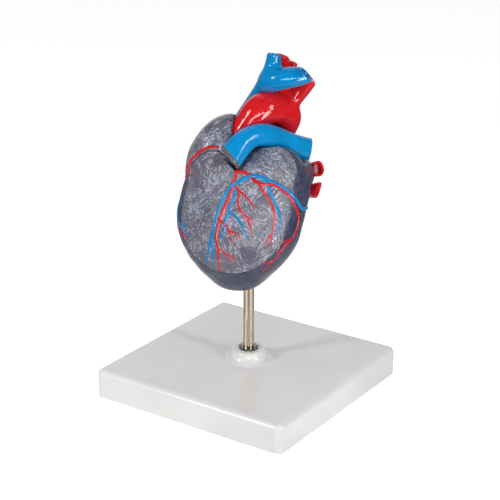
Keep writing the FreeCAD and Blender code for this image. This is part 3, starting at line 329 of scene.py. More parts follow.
def trimEnd(field, grid, end, way, reach):
    # a flat cut square to the end, which leaves the rest of the tube alone
    x, y, z = grid
    beyond = (x - end[0]) * way[0] + (y - end[1]) * way[1] + (z - end[2]) * way[2]
    near = (x - end[0]) ** 2 + (y - end[1]) ** 2 + (z - end[2]) ** 2 < reach ** 2
    return np.where(near, np.maximum(field, beyond), field)


tubing = {
    "step": 0.42,
    "wall": 1.1,
    "cutReach": 2.0,   # how far round an end its flat cut reaches, in radii
    "overrun": 4.0,    # millimetres by which the bore runs past the open end
    "lip": 0.5,        # rounding at the mouth
    "foot": 1.0,       # depth of a vessel's foot under the heart's skin
    "clearance": 0.1,  # between a vessel and the wall or vessel beside it
    "margin": 6.0,
    "unpainted": 3.4,  # bare length at the mouth of a lung vein
}


def vesselField(grid, axes, route):
    # outer and inner field of one vessel; its far end is open and cut flat, square to the route or to
    # cutWay, and its near end stays round where startWay is not given
    places = [heartPlace(*place) for place in route["places"]]
    line, widths = alongRoute(places, [route["radius"] * share for share in route["shares"]])
    outer = tubeField(axes, line, widths)
    if "startWay" in route:
        outer = trimEnd(outer, grid, line[0], route["startWay"], tubing["cutReach"] * widths[0])
    ahead = (line[-1] - line[-3]) / np.linalg.norm(line[-1] - line[-3])
    way = np.array(route.get("cutWay", ahead), float)
    outer = trimEnd(outer, grid, line[-1], way / np.linalg.norm(way), tubing["cutReach"] * widths[-1])
    line = np.vstack([line, line[-1] + ahead * tubing["overrun"]])
    inner = tubeField(axes, line, np.r_[widths, widths[-1]] - tubing["wall"])
    return outer, inner


# materials

def hexColour(text):
    # an sRGB hex value as linear red, green, blue and full alpha
    parts = [int(text[k:k + 2], 16) / 255 for k in (1, 3, 5)]
    return tuple(c / 12.92 if c <= 0.04045 else ((c + 0.055) / 1.055) ** 2.4 for c in parts) + (1.0,)


def addNode(tree, kind, values=None):
    # a value goes to the socket of that name or number, or to the node's own setting; an output socket
    # is linked, and stops are a ramp's colours from low to high
    node = tree.nodes.new("ShaderNode" + kind)
    for name, value in (values or {}).items():
        if name == "stops":
            ramp = node.color_ramp.elements
            for k, (position, colour) in enumerate(value):
                element = ramp[k] if k < 2 else ramp.new(position)
                element.position = position
                element.color = hexColour(colour)
        elif isinstance(value, bpy.types.NodeSocket):
            tree.links.new(value, node.inputs[name])
        elif isinstance(name, int) or name in node.inputs.keys():
            node.inputs[name].default_value = value
        else:
            setattr(node, name, value)
    return node


def emptyTree(owner):
    owner.use_nodes = True
    owner.node_tree.nodes.clear()
    return owner.node_tree


def newMaterial(name):
    # an empty material, its node tree and the place on the piece in millimetres
    material = bpy.data.materials.new(name)
    tree = emptyTree(material)
    place = addNode(tree, "TexCoord").outputs["Object"]
    place = addNode(tree, "Mapping", {"Vector": place, "Scale": (1 / mm,) * 3}).outputs["Vector"]
    return material, tree, place


def finishMaterial(tree, inputs):
    shader = addNode(tree, "BsdfPrincipled", inputs)
    addNode(tree, "OutputMaterial", {"Surface": shader.outputs["BSDF"]})


smokyWall = {
    "frontHues": ["#4a4b5b", "#7a7a8b", "#c4c5d5"],
    "backHues": ["#313a52", "#494f69", "#645e7a"],
    "hueLevels": [0.5, 0.8, 1.0],   # levels of the tint that take the dark, middle and pale hue
    "tintBase": 0.37,               # the tint's level without clouds, fibres and specks
    "tintShare": 0.3,               # and what each of the three adds at its full strength
    "patch": 12.0,                  # millimetres across one cloud
    "speck": 1.25,                  # millimetres across one speck
    "speckHeight": 0.5,             # as a share of a fibre's height
    "bend": 20.0,                   # millimetres over which the fibres bend
    "push": (10.0, 10.0, 8.0),      # and how far that pushes them
    "group": 9.0,                   # millimetres across a group of fibres
    "groupEdge": (0.46, 0.55),      # noise levels between which a group comes up
    "faintest": 0.1,                # what shows of the fibres outside their group
    "stroke": (0.66, 0.66, 11.0),   # width, depth and length of one moulded muscle fibre
    "crest": (0.46, 0.64),          # noise levels between which a fibre rises
    "axis": (0.56, -0.83, 0.0),     # the groups lean about this way
    "leans": [-0.25, 0.95, -1.05],  # by these turns from upright, in radians
    "paleReach": (18.5, 23.0),      # millimetres from the pale dome's middle over which it darkens
    "roughness": 0.2,
}


def smokyAcrylic(name, hues, strandDepth, clear, seed, paleDome=None):
    # cast acrylic, tinted smoke grey: cloudy see-through walls with groups of short, fine muscle
    # fibres moulded in, whose crests catch small sharp lights and are also painted paler, a painted
    # highlight
    material, tree, place = newMaterial(name)
    shifted = addNode(tree, "Mapping", {
        "Vector": place, "Location": (seed * 13.0, 0.0, seed * 7.0)}).outputs["Vector"]
    cloud = addNode(tree, "TexNoise", {
        "Vector": shifted, "Scale": 1 / smokyWall["patch"], "Detail": 5.0, "Roughness": 0.62}).outputs["Fac"]
    speck = addNode(tree, "TexNoise", {
        "Vector": shifted, "Scale": 1 / smokyWall["speck"], "Detail": 3.0}).outputs["Fac"]
    bend = addNode(tree, "TexNoise", {
        "Vector": shifted, "Scale": 1 / smokyWall["bend"], "Detail": 1.0}).outputs["Color"]
    pushed = addNode(tree, "VectorMath", {
        "operation": "MULTIPLY_ADD", 0: bend, 1: smokyWall["push"], 2: shifted}).outputs["Vector"]
    groups = addNode(tree, "TexNoise", {
        "Vector": shifted, "Scale": 1 / smokyWall["group"], "Detail": 1.0}).outputs["Color"]
    groups = addNode(tree, "SeparateXYZ", {"Vector": groups}).outputs
    relief = 0.0
    for group, lean in zip(groups, smokyWall["leans"]):
        leant = addNode(tree, "VectorRotate", {
            "Vector": pushed, "Axis": smokyWall["axis"], "Angle": lean}).outputs["Vector"]
        drawn = addNode(tree, "Mapping", {
            "Vector": leant, "Scale": tuple(1 / v for v in smokyWall["stroke"])}).outputs["Vector"]
        fibres = addNode(tree, "TexNoise", {"Vector": drawn, "Scale": 1.0, "Detail": 1.0}).outputs["Fac"]
        fibres = addNode(tree, "MapRange", {
            "Value": fibres, "From Min": smokyWall["crest"][0],
            "From Max": smokyWall["crest"][1]}).outputs["Result"]
        where = addNode(tree, "MapRange", {
            "Value": group, "From Min": smokyWall["groupEdge"][0], "From Max": smokyWall["groupEdge"][1],
            "To Min": smokyWall["faintest"]}).outputs["Result"]
        fibres = addNode(tree, "Math", {"operation": "MULTIPLY", 0: fibres, 1: where}).outputs["Value"]
        relief = addNode(tree, "Math", {"operation": "MAXIMUM", 0: fibres, 1: relief}).outputs["Value"]
    # clouds and specks vary the tint; the fibres raise it on their crests, a painted highlight beside their
    # real bump
    tint = smokyWall["tintBase"]
    for part in (cloud, relief, speck):
        tint = addNode(tree, "Math", {
            "operation": "MULTIPLY_ADD", 0: part, 1: smokyWall["tintShare"], 2: tint}).outputs["Value"]
    colour = addNode(tree, "ValToRGB", {
        "stops": zip(smokyWall["hueLevels"], hues), "Fac": tint}).outputs["Color"]
    if paleDome is not None:
        pale = addNode(tree, "ValToRGB", {
            "stops": zip(smokyWall["hueLevels"], smokyWall["frontHues"]), "Fac": tint}).outputs["Color"]
        away = addNode(tree, "VectorMath", {
            "operation": "DISTANCE", 0: place, 1: tuple(float(v) for v in paleDome)}).outputs["Value"]
        near = addNode(tree, "MapRange", {
            "Value": away, "From Min": smokyWall["paleReach"][0], "From Max": smokyWall["paleReach"][1],
            "To Min": 1.0, "To Max": 0.0}).outputs["Result"]
        colour = addNode(tree, "Mix", {"data_type": "RGBA", "Factor": near, 6: colour, 7: pale}).outputs[2]
    height = addNode(tree, "Math", {
        "operation": "MULTIPLY_ADD", 0: speck, 1: smokyWall["speckHeight"], 2: relief}).outputs["Value"]
    bump = addNode(tree, "Bump", {"Height": height, "Distance": strandDepth * mm}).outputs["Normal"]
    alpha = addNode(tree, "MapRange", {
        "Value": cloud, "From Min": 0.3, "From Max": 0.7,
        "To Min": clear[0], "To Max": clear[1]}).outputs["Result"]
    finishMaterial(tree, {
        "Base Color": colour, "Roughness": smokyWall["roughness"], "IOR": 1.49, "Specular IOR Level": 0.4,
        "Alpha": alpha, "Normal": bump,
        "Coat Weight": 0.35, "Coat Roughness": 0.05, "Coat Normal": bump})
    return material


enamel = {
    "red": "#e61e27", "redDark": "#cf141d",
    "blue": "#008dcf", "blueDark": "#007dbd",
    "trunkBlue": "#009be0", "trunkBlueDark": "#008ccd",
    "roughness": 0.13,
    "gloss": 0.36,        # a polished coat has 0.5
    "strokes": 0.12,      # strokes of the brush in one millimetre
    "ripples": 0.35,      # ripples of the coat in one millimetre
    "rippleDepth": 0.06,  # millimetres
    "wobbles": 0.5,       # waves of a painted line in one millimetre
    "bareHue": "#7d7b80",
    "bareAlpha": 0.55,
}


def brushedEnamel(name, light, dark, clearFrom=None, clearWay=None):
    # gloss enamel brushed by hand over clear plastic: even colour, slightly thinner in broad strokes,
    # with a wet shine; past a painted line the bare smoky plastic shows
    material, tree, place = newMaterial(name)
    strokes = addNode(tree, "TexNoise", {
        "Vector": place, "Scale": enamel["strokes"], "Detail": 3.0, "Roughness": 0.5}).outputs["Fac"]
    ripples = addNode(tree, "TexNoise", {
        "Vector": place, "Scale": enamel["ripples"], "Detail": 1.0}).outputs["Fac"]
    colour = addNode(tree, "ValToRGB", {
        "stops": [(0.3, dark), (0.62, light)], "Fac": strokes}).outputs["Color"]
    bump = addNode(tree, "Bump", {
        "Height": ripples, "Distance": enamel["rippleDepth"] * mm}).outputs["Normal"]
    inputs = {"Base Color": colour, "Roughness": enamel["roughness"], "IOR": 1.5,
              "Specular IOR Level": enamel["gloss"], "Normal": bump}
    if clearFrom is not None:
        away = addNode(tree, "VectorMath", {
            "operation": "SUBTRACT", 0: place, 1: tuple(float(v) for v in clearFrom)}).outputs["Vector"]
        depth = addNode(tree, "VectorMath", {
            "operation": "DOT_PRODUCT", 0: away, 1: tuple(float(v) for v in clearWay)}).outputs["Value"]
        wobble = addNode(tree, "TexNoise", {"Vector": place, "Scale": enamel["wobbles"]}).outputs["Fac"]
        edge = addNode(tree, "Math", {"operation": "ADD", 0: depth, 1: wobble}).outputs["Value"]
        bare = addNode(tree, "MapRange", {
            "Value": edge, "From Min": 0.4, "From Max": 0.7}).outputs["Result"]
        inputs["Base Color"] = addNode(tree, "Mix", {
            "data_type": "RGBA", "Factor": bare, 6: colour, 7: hexColour(enamel["bareHue"])}).outputs[2]
        inputs["Alpha"] = addNode(tree, "MapRange", {
            "Value": bare, "To Min": 1.0, "To Max": enamel["bareAlpha"]}).outputs["Result"]
    finishMaterial(tree, inputs)
    return material


def mouldedPolystyrene(name):
    # injection-moulded high-impact polystyrene: off-white, glossy, with a faint orange-peel texture
    material, tree, place = newMaterial(name)
    cloud = addNode(tree, "TexNoise", {"Vector": place, "Scale": 0.03, "Detail": 3.0}).outputs["Fac"]
    peel = addNode(tree, "TexNoise", {"Vector": place, "Scale": 1.1, "Detail": 2.0}).outputs["Fac"]
    colour = addNode(tree, "ValToRGB", {
        "stops": [(0.3, "#edebe9"), (0.7, "#f4f2f0")], "Fac": cloud}).outputs["Color"]
    rough = addNode(tree, "MapRange", {"Value": peel, "To Min": 0.2, "To Max": 0.27}).outputs["Result"]
    bump = addNode(tree, "Bump", {"Height": peel, "Distance": 0.012 * mm}).outputs["Normal"]
    finishMaterial(tree, {
        "Base Color": colour, "Roughness": rough, "IOR": 1.55, "Normal": bump,
        "Subsurface Weight": 0.05, "Subsurface Radius": (1.5 * mm, 1.4 * mm, 1.3 * mm)})
    return material


def polishedNickel(name, dark, light):
    # nickel-plated steel, polished along its length: warm mirror with faint drawn lines, about half
    # a millimetre apart and eight millimetres long
    material, tree, place = newMaterial(name)
    lines = addNode(tree, "Mapping", {"Vector": place, "Scale": (0.9, 0.9, 0.06)}).outputs["Vector"]
    drawn = addNode(tree, "TexNoise", {"Vector": lines, "Scale": 2.0, "Detail": 3.0}).outputs["Fac"]
    colour = addNode(tree, "ValToRGB", {
        "stops": [(0.3, dark), (0.7, light)], "Fac": drawn}).outputs["Color"]
    rough = addNode(tree, "MapRange", {"Value": drawn, "To Min": 0.12, "To Max": 0.22}).outputs["Result"]
    bump = addNode(tree, "Bump", {"Height": drawn, "Distance": 0.004 * mm}).outputs["Normal"]
    finishMaterial(tree, {"Base Color": colour, "Metallic": 1.0, "Roughness": rough, "Normal": bump})
    return material


def satinMoulding(name, dark, light, span, roughness, depth):
    # soft-tinted casting or moulded rubber: slight mottling and a dull, close-grained skin; the
    # mottling's span and the grain's depth are in millimetres
    material, tree, place = newMaterial(name)
    cloud = addNode(tree, "TexNoise", {"Vector": place, "Scale": 1 / span, "Detail": 4.0}).outputs["Fac"]
    grain = addNode(tree, "TexNoise", {"Vector": place, "Scale": 1.6, "Detail": 2.0}).outputs["Fac"]
    colour = addNode(tree, "ValToRGB", {
        "stops": [(0.32, dark), (0.68, light)], "Fac": cloud}).outputs["Color"]
    bump = addNode(tree, "Bump", {"Height": grain, "Distance": depth * mm}).outputs["Normal"]
    finishMaterial(tree, {
        "Base Color": colour, "Roughness": roughness, "IOR": 1.5, "Specular IOR Level": 0.25,
        "Normal": bump})
    return material


frontAcrylic = smokyAcrylic("smokyAcrylicFront", smokyWall["frontHues"], strandDepth=0.24,
                            clear=(0.9, 0.98), seed=3)
backAcrylic = smokyAcrylic("smokyAcrylicBack", smokyWall["backHues"], strandDepth=0.06,
                           clear=(0.8, 0.93), seed=8, paleDome=domes["right"]["centre"])
redEnamel = brushedEnamel("redEnamel", enamel["red"], enamel["redDark"])
blueEnamel = brushedEnamel("blueEnamel", enamel["blue"], enamel["blueDark"])
basePlastic = mouldedPolystyrene("mouldedPolystyrene")
nickel = polishedNickel("polishedNickel", "#d0bfac", "#e3d2c0")
ringSteel = polishedNickel("stampedRingSteel", "#5d5b5a", "#9a9794")
rubber = satinMoulding("mouldedRubber", "#8a8886", "#a3a09d", span=9.0, roughness=0.7, depth=0.05)
musclePink = satinMoulding("tintedCastingPink", "#8d5f63", "#b58a8b", span=7.0, roughness=0.45, depth=0.15)
valveCream = satinMoulding("tintedCastingCream", "#c9b9a2", "#e0d4c2", span=6.0, roughness=0.42, depth=0.06)
clearPlastic = satinMoulding("clearStyrene", "#8e8e96", "#b0b0b8", span=6.0, roughness=0.2, depth=0.02)
fibreYellow = satinMoulding("fibrePaintYellow", "#b3b02a", "#d2cd4e", span=4.0, roughness=0.4, depth=0.04)
print("materials made")

cadFinish = {
    basePlastic: ["base_plate", "base_walls"],
    rubber: ["base_feet"],
    nickel: ["support_rod"],
    ringSteel: ["rod_grip_ring"],
    musclePink: ["ventricular_septum", "atrial_septum", "papillary_muscles"],
    valveCream: ["valve_plate", "tricuspid_valve", "mitral_valve", "aortic_valve", "pulmonary_valve",
                 "chordae_tendineae"],
    clearPlastic: ["locating_pins", "rod_socket"],
    fibreYellow: ["sinus_node", "right_bundle_branch", "left_bundle_branch", "right_purkinje_fibres",
                  "left_purkinje_fibres", "front_purkinje_fibres"],
}
for finish, names in cadFinish.items():
    for name in names:
        nodes[name].data.materials.clear()
        nodes[name].data.materials.append(finish)

# great vessels

vessels = {  # places are shares of the heart, radii in millimetres, shares widen or narrow them
    "aortaAndBranches": {
        "stands": ["aorta", "left_subclavian_artery", "brachiocephalic_artery", "left_carotid_artery"],
        "slot": "artery_red", "finish": redEnamel, "joinReach": 2.4,
        "routes": [
            {"radius": 7.2, "places": [
                (0.13, 0.03, 0.745), (0.05, 0.01, 0.845), (-0.09, -0.06, 0.94), (-0.08, -0.045, 1.02),
                (0.003, 0.05, 1.1), (0.095, 0.17, 1.172), (0.17, 0.39, 1.182), (0.225, 0.61, 1.152),
                (0.245, 0.76, 1.09), (0.185, 0.79, 1.02), (0.14, 0.79, 0.955)],
             "shares": [0.87, 0.94, 1.04, 1.08, 1.12, 1.17, 1.23, 1.2, 1.07, 0.98, 0.92],
             "startWay": (0.33, 0.07, -0.94)},
            {"radius": 2.9, "places": [(0.18, 0.46, 1.21), (0.20, 0.65, 1.33), (0.212, 0.67, 1.505)],
             "shares": [1.1, 1.0, 1.03], "cutWay": (0.241, 0.262, 0.932)},
            {"radius": 2.9, "places": [(0.25, 0.64, 1.20), (0.275, 0.78, 1.33), (0.315, 0.81, 1.458)],
             "shares": [0.92, 0.9, 0.88], "cutWay": (0.241, 0.262, 0.932)},
            {"radius": 4.6, "places": [(0.29, 0.70, 1.18), (0.425, 0.82, 1.265), (0.575, 0.895, 1.36)],
             "shares": [1.04, 1.0, 0.94], "cutWay": (0.463, 0.738, 0.512)}]},
    "venaCavaAndBranch": {
        "stands": ["superior_vena_cava", "left_brachiocephalic_vein"],
        "slot": "vein_blue", "finish": blueEnamel, "joinReach": 4.5,
        "routes": [
            {"radius": 6.5, "places": [
                (-0.44, 0.29, 0.89), (-0.385, 0.45, 0.99), (-0.24, 0.54, 1.11), (-0.07, 0.52, 1.22),
                (0.09, 0.45, 1.325), (0.175, 0.405, 1.41), (0.195, 0.395, 1.465), (0.21, 0.39, 1.52)],
             "shares": [1.0, 1.02, 1.02, 0.97, 0.9, 0.78, 0.63, 0.55],
             "cutWay": (-0.113, 0.552, 0.82)},
            {"radius": 5.4, "places": [
                (0.15, 0.36, 1.35), (0.25, 0.29, 1.365), (0.37, 0.30, 1.385), (0.54, 0.41, 1.40),
                (0.68, 0.575, 1.411)], "shares": [0.88, 1.0, 1.04, 0.95, 0.76],
             "cutWay": (0.726, 0.351, 0.688)}]},
    "pulmonaryArteries": {
        "stands": ["pulmonary_trunk", "right_pulmonary_artery"],
        "slot": "vein_blue", "joinReach": 3.0,
        "finish": brushedEnamel("pulmonaryEnamel", enamel["trunkBlue"], enamel["trunkBlueDark"],
                                clearFrom=(2.6, -19.5, 138.2), clearWay=(-0.504, -0.616, -0.607)),
        "routes": [
            {"radius": 6.0, "places": [
                (0.05, -0.72, 0.922), (0.10, -0.60, 0.975), (0.16, -0.40, 1.03), (0.25, -0.165, 1.05),
                (0.325, 0.065, 1.03), (0.42, 0.35, 0.978), (0.50, 0.59, 0.933), (0.60, 0.89, 0.889)],
             "shares": [1.12, 1.07, 1.01, 0.97, 0.97, 0.97, 0.98, 1.0],
             "startWay": (-0.504, -0.616, -0.607), "cutWay": (0.794, 0.596, -0.158)},
            {"radius": 6.0, "places": [
                (0.27, -0.02, 1.035), (0.10, 0.28, 1.04), (-0.11, 0.58, 1.045), (-0.33, 0.86, 1.04),
                (-0.49, 0.95, 1.03)], "shares": [0.8, 0.84, 0.86, 0.88, 0.9]}]},
    "inferiorVenaCava": {
        "stands": ["inferior_vena_cava"], "slot": "vein_blue", "finish": blueEnamel, "joinReach": 1.0,
        "routes": [{"radius": 6.5, "places": [(-0.47, 0.60, 0.71), (-0.51, 0.91, 0.67), (-0.51, 1.07, 0.60),
                                              (-0.50, 1.14, 0.52)], "shares": [1.0, 1.0, 1.0, 1.02]}]},
}
lungVeins = {
    "left_superior_pulmonary_vein": [(0.36, 0.90, 0.70), (0.60, 0.96, 0.745), (0.735, 0.945, 0.765)],
    "left_inferior_pulmonary_vein": [(0.34, 0.93, 0.585), (0.59, 0.99, 0.595), (0.71, 1.01, 0.61)],
    "right_superior_pulmonary_vein": [(-0.15, 0.90, 0.79), (-0.36, 1.12, 0.81), (-0.52, 1.24, 0.815)],
    "right_inferior_pulmonary_vein": [(-0.06, 0.95, 0.69), (-0.20, 1.19, 0.69), (-0.30, 1.34, 0.685)],
}


def camelName(text):
    first, *others = text.split("_")
    return first + "".join(word.capitalize() for word in others)


for name, places in lungVeins.items():
    start, end = heartPlace(*places[1]), heartPlace(*places[2])
    way = (end - start) / np.linalg.norm(end - start)
    vessels[camelName(name)] = {
        "stands": [name], "slot": "artery_red", "joinReach": 1.0,
        "finish": brushedEnamel(camelName(name.replace("pulmonary_", "")) + "Enamel", enamel["red"],
                                enamel["redDark"], clearFrom=end - way * tubing["unpainted"],
                                clearWay=-way),
        "routes": [{"radius": 4.3, "places": places, "shares": [0.92, 0.92, 1.0]}]}
vessels["leftInferiorPulmonaryVein"]["routes"][0]["cutWay"] = (0.950, 0.276, -0.240)


def vesselForm(grid, axes, vessel, count=None):
    # outer and inner field of a whole vessel, or of its first few routes
    outer = inner = None
    for route in vessel["routes"][:count]:
        out, bore = vesselField(grid, axes, route)
        outer = out if outer is None else blendUnion(outer, out, vessel["joinReach"])
        inner = bore if inner is None else np.minimum(inner, bore)
    return outer, inner


# heart walls

shells = {
    "step": 0.42,
    "low": (-42.0, -36.0, 59.5),
    "high": (36.5, 36.5, 157.0),
    "valley": 2.6,             # reach over which the walls fall towards the arteries
    "steepness": (0.35, 3.0),  # the field is evened out within these, for walls of one thickness
    "root": [(0.035, -0.782, 0.893), (0.065, -0.70, 0.93), (0.10, -0.60, 0.975)],
    "rootRadii": [6.7, 6.7, 6.4],
    "rootEase": 0.5,
    "slit": 1.0,               # open gap between the front wall and the pulmonary root
}


def buildShells():
    step = shells["step"]
    grid, axes = makeGrid(shells["low"], shells["high"], step)
    arch, cava, trunk = (vesselForm(grid, axes, vessels[name], 1)[0]
                         for name in ("aortaAndBranches", "venaCavaAndBranch", "pulmonaryArteries"))
    foot = -(ventricleField(grid) + tubing["foot"])
    cava = np.maximum(cava, foot)
    trunk = np.maximum(trunk, foot)
    outer = blendCut(heartField(grid), np.minimum(arch, trunk), shells["valley"]).astype(np.float32)
    steep = np.sqrt(sum(part ** 2 for part in np.gradient(outer, step)))
    outer = outer / np.clip(steep, *shells["steepness"])
    wall = np.maximum(outer, -(outer + heart["wall"]))
    wall = np.maximum(wall, tubing["clearance"] - np.minimum(np.minimum(arch, cava), trunk))
    room = frontField(grid)
    rootLine, rootWidths = alongRoute([heartPlace(*place) for place in shells["root"]], shells["rootRadii"])
    slit = np.maximum(tubeField(axes, rootLine, rootWidths) - shells["rootEase"], -room - shells["slit"])
    points, faces = skinOf(np.maximum(np.maximum(wall, room), -slit), axes, step)
    meshPiece("frontWallShell", points, faces, "heart_front", "clear_wall", ["front_wall", "left_auricle"],
              frontAcrylic)
    points, faces = skinOf(np.maximum(wall, parting["gap"] - room), axes, step)
    meshPiece("backWallShell", points, faces, "heart_back", "clear_back",
              ["back_wall", "right_atrium", "left_atrium", "left_auricle_root"], backAcrylic)


buildShells()
print("heart walls made")


def buildVessel(name, vessel):
    every = np.array([heartPlace(*place) for route in vessel["routes"] for place in route["places"]])
    margin = max(route["radius"] for route in vessel["routes"]) + tubing["margin"]
    grid, axes = makeGrid(every.min(0) - margin, every.max(0) + margin, tubing["step"])
    outer, inner = vesselForm(grid, axes, vessel)
    field = blendCut(outer, inner, tubing["lip"])
    if name in ("venaCavaAndBranch", "pulmonaryArteries"):  # these stand on the ventricles, past the arch
        arch = vesselForm(grid, axes, vessels["aortaAndBranches"], 1)[0]
        field = np.maximum(field, -(ventricleField(grid) + tubing["foot"]).astype(np.float32))
        field = np.maximum(field, tubing["clearance"] - arch)
    elif name != "aortaAndBranches":
        field = np.maximum(field, -(heartField(grid) + tubing["foot"]).astype(np.float32))
    points, faces = skinOf(field, axes, tubing["step"])
    meshPiece(name, points, faces, "heart_back", vessel["slot"], vessel["stands"], vessel["finish"])


for name, vessel in vessels.items():
    buildVessel(name, vessel)
print("great vessels made")

# coronary vessels

coronaries = {  # degrees from the front towards +X with the height above the apex, radii in millimetres
    "anterior_descending_artery": {"routes": [
        [(18, 0.86), (17, 0.83), (15, 0.78), (13, 0.70), (11, 0.646), (9, 0.583), (8, 0.508), (8, 0.457),
         (9, 0.407), (10, 0.361), (10, 0.29), (10, 0.20)],
        [(9, 0.549), (16, 0.516), (19, 0.493), (24, 0.485), (28, 0.462), (31, 0.437)],
        [(18, 0.499), (22, 0.452), (25, 0.395)], [(10, 0.37), (18, 0.342), (20, 0.307), (23, 0.272)],
        [(18, 0.342), (24, 0.327), (29, 0.284)]],
        "radii": [0.85, 0.55, 0.42, 0.5, 0.42], "hue": "red"},
    "diagonal_artery": {"routes": [
        [(16, 0.76), (20, 0.745), (21, 0.68), (25, 0.622), (30, 0.593), (35, 0.575), (40, 0.546)],
        [(30, 0.593), (34, 0.557), (37, 0.514), (39, 0.475)], [(21, 0.74), (29, 0.70), (38, 0.64)]],
        "radii": [0.58, 0.5, 0.55], "hue": "red"},
    "circumflex_artery": {"routes": [
        [(20, 0.85), (24, 0.85), (29, 0.84), (38, 0.79), (52, 0.78), (62, 0.74), (73, 0.68), (77, 0.64),
         (83, 0.595), (90, 0.526), (90, 0.477), (87, 0.425), (80, 0.396), (74, 0.371), (70, 0.321),
         (67, 0.279), (63, 0.235), (62, 0.204)],
        [(82, 0.413), (73, 0.413), (68, 0.392)], [(80, 0.396), (72, 0.36), (65, 0.354)],
        [(66, 0.288), (58, 0.279), (54, 0.267)]],
        "radii": [0.85, 0.5, 0.45, 0.5], "hue": "red", "sides": ("front", "back")},
    "anterolateral_artery": {"routes": [
        [(38, 0.79), (44, 0.73), (52, 0.66), (56, 0.603), (58, 0.534), (58, 0.466), (57, 0.408),
         (55, 0.383)], [(58, 0.478), (54, 0.443), (53, 0.404)]],
        "radii": [0.62, 0.42], "hue": "red"},
    "great_cardiac_vein": {"routes": [
        [(100, 0.58), (94, 0.59), (77, 0.68), (59, 0.77), (47, 0.81), (34, 0.83), (22, 0.80), (13, 0.76),
         (8, 0.69), (6, 0.639), (5, 0.535), (4, 0.445), (2, 0.397), (-1, 0.311), (-5, 0.253)],
        [(4, 0.42), (5, 0.355), (3, 0.265)]],
        "radii": [1.1, 0.7], "hue": "blue", "sides": ("front", "back")},
    "anterior_interventricular_vein": {"routes": [
        [(16, 0.75), (17, 0.68), (15, 0.649), (15, 0.608), (14, 0.564), (14, 0.495), (14, 0.432)],
        [(16, 0.603), (22, 0.583), (27, 0.549), (31, 0.507), (37, 0.451)]],
        "radii": [0.8, 0.7], "hue": "blue"},
    "lateral_cardiac_vein": {"routes": [
        [(45, 0.80), (51, 0.72), (56, 0.658), (61, 0.60), (64, 0.548), (63, 0.499), (61, 0.458)]],
        "radii": [0.75], "hue": "blue"},
    "right_marginal_vein": {"routes": [[(-53, 0.57), (-54, 0.473), (-41, 0.426), (-30, 0.403), (-22, 0.394)],
                                       [(-44, 0.436), (-32, 0.451), (-23, 0.451)]],
                            "radii": [0.72, 0.5], "hue": "blue", "sides": ("front", "back")},
    "right_marginal_artery": {"routes": [[(-50, 0.44), (-42, 0.397), (-33, 0.377), (-24, 0.37)]],
                              "radii": [0.55], "hue": "red", "sides": ("front", "back")},
    "conus_artery": {"routes": [[(-42, 0.80), (-35, 0.796), (-33, 0.76)]], "radii": [0.55], "hue": "red"},
    "right_coronary_artery": {"routes": [
        [(-12, 0.965), (-18, 0.965), (-24, 0.94), (-30, 0.90), (-35, 0.86), (-39, 0.81), (-42, 0.78),
         (-46, 0.73), (-62, 0.70), (-82, 0.66), (-102, 0.60), (-122, 0.52), (-140, 0.46), (-158, 0.44)]],
        "radii": [0.85], "hue": "red", "sides": ("back",)},
    "posterior_descending_artery": {"routes": [[(-157, 0.43), (-161, 0.36), (-162, 0.27), (-160, 0.18)]],
                                    "radii": [0.62], "hue": "red", "sides": ("back",)},
    "middle_cardiac_vein": {"routes": [[(-170, 0.49), (-172, 0.40), (-173, 0.30), (-172, 0.22)]],
                            "radii": [0.72], "hue": "blue", "sides": ("back",)},
    "coronary_sinus": {"routes": [[(101, 0.58), (114, 0.56), (132, 0.53), (152, 0.51), (170, 0.50),
                                   (-174, 0.505)]], "radii": [1.1], "hue": "blue", "sides": ("back",)},
}
twigs = {
    "step": 0.25,
    "spacing": 0.8,   # millimetres between the points of a line
    "sunk": 0.4,      # share of its radius by which a line lies under the skin
    "taper": 0.5,     # share of its length over which it thins
    "thinnest": 0.6,  # to this share of its radius
    "join": 0.5,      # reach over which branches flow together
    "band": 1.6,
    "margin": 2.5,
}


def surfaceLine(turns, heights, sunk=0.0):
    # where level rays, turned from the front towards +X, leave the heart, less a depth in millimetres
    share = np.minimum(heights, 1.0)
    knots = [level[0] for level in heart["levels"]]
    girth, midX, midY = (np.interp(share, knots, [level[k] for level in heart["levels"]]) for k in (1, 2, 3))
    middle = np.stack([midX * heart["halfWidth"], midY * heart["halfDepth"],
                       heart["apex"] + heights * heart["height"]], 1)
    angle = np.radians(turns)
    way = np.stack([heart["halfWidth"] * np.sin(angle), -heart["halfDepth"] * np.cos(angle), 0 * angle], 1)
    steps = np.linspace(0.0, 1.6, 161)  # along the rays, the wall is near 1
    probes = middle[:, None] + way[:, None] * steps[None, :, None]
    values = heartField(np.moveaxis(probes, 2, 0))
    last = np.array([np.max(np.nonzero(row < 0)[0]) for row in values])
    rows = np.arange(len(last))
    a, b = values[rows, last], values[rows, np.minimum(last + 1, len(steps) - 1)]
    reach = steps[last] + steps[1] * a / (a - b) - sunk / np.linalg.norm(way, axis=1)
    return middle + way * reach[:, None]


def coronaryLine(route, radius):
    turns = np.unwrap(np.radians([float(t) for t, h in route])) * 180 / np.pi
    heights = np.array([h for t, h in route])
    knots = surfaceLine(turns, heights)
    reach = np.r_[0, np.cumsum(np.linalg.norm(np.diff(knots, axis=0), axis=1))]
    stops = np.linspace(0, reach[-1], max(4, int(reach[-1] / twigs["spacing"])))
    way = smoothCurve(reach, np.stack([turns, heights], 1))(stops)
    return surfaceLine(way[:, 0], way[:, 1], twigs["sunk"] * radius), stops / reach[-1]


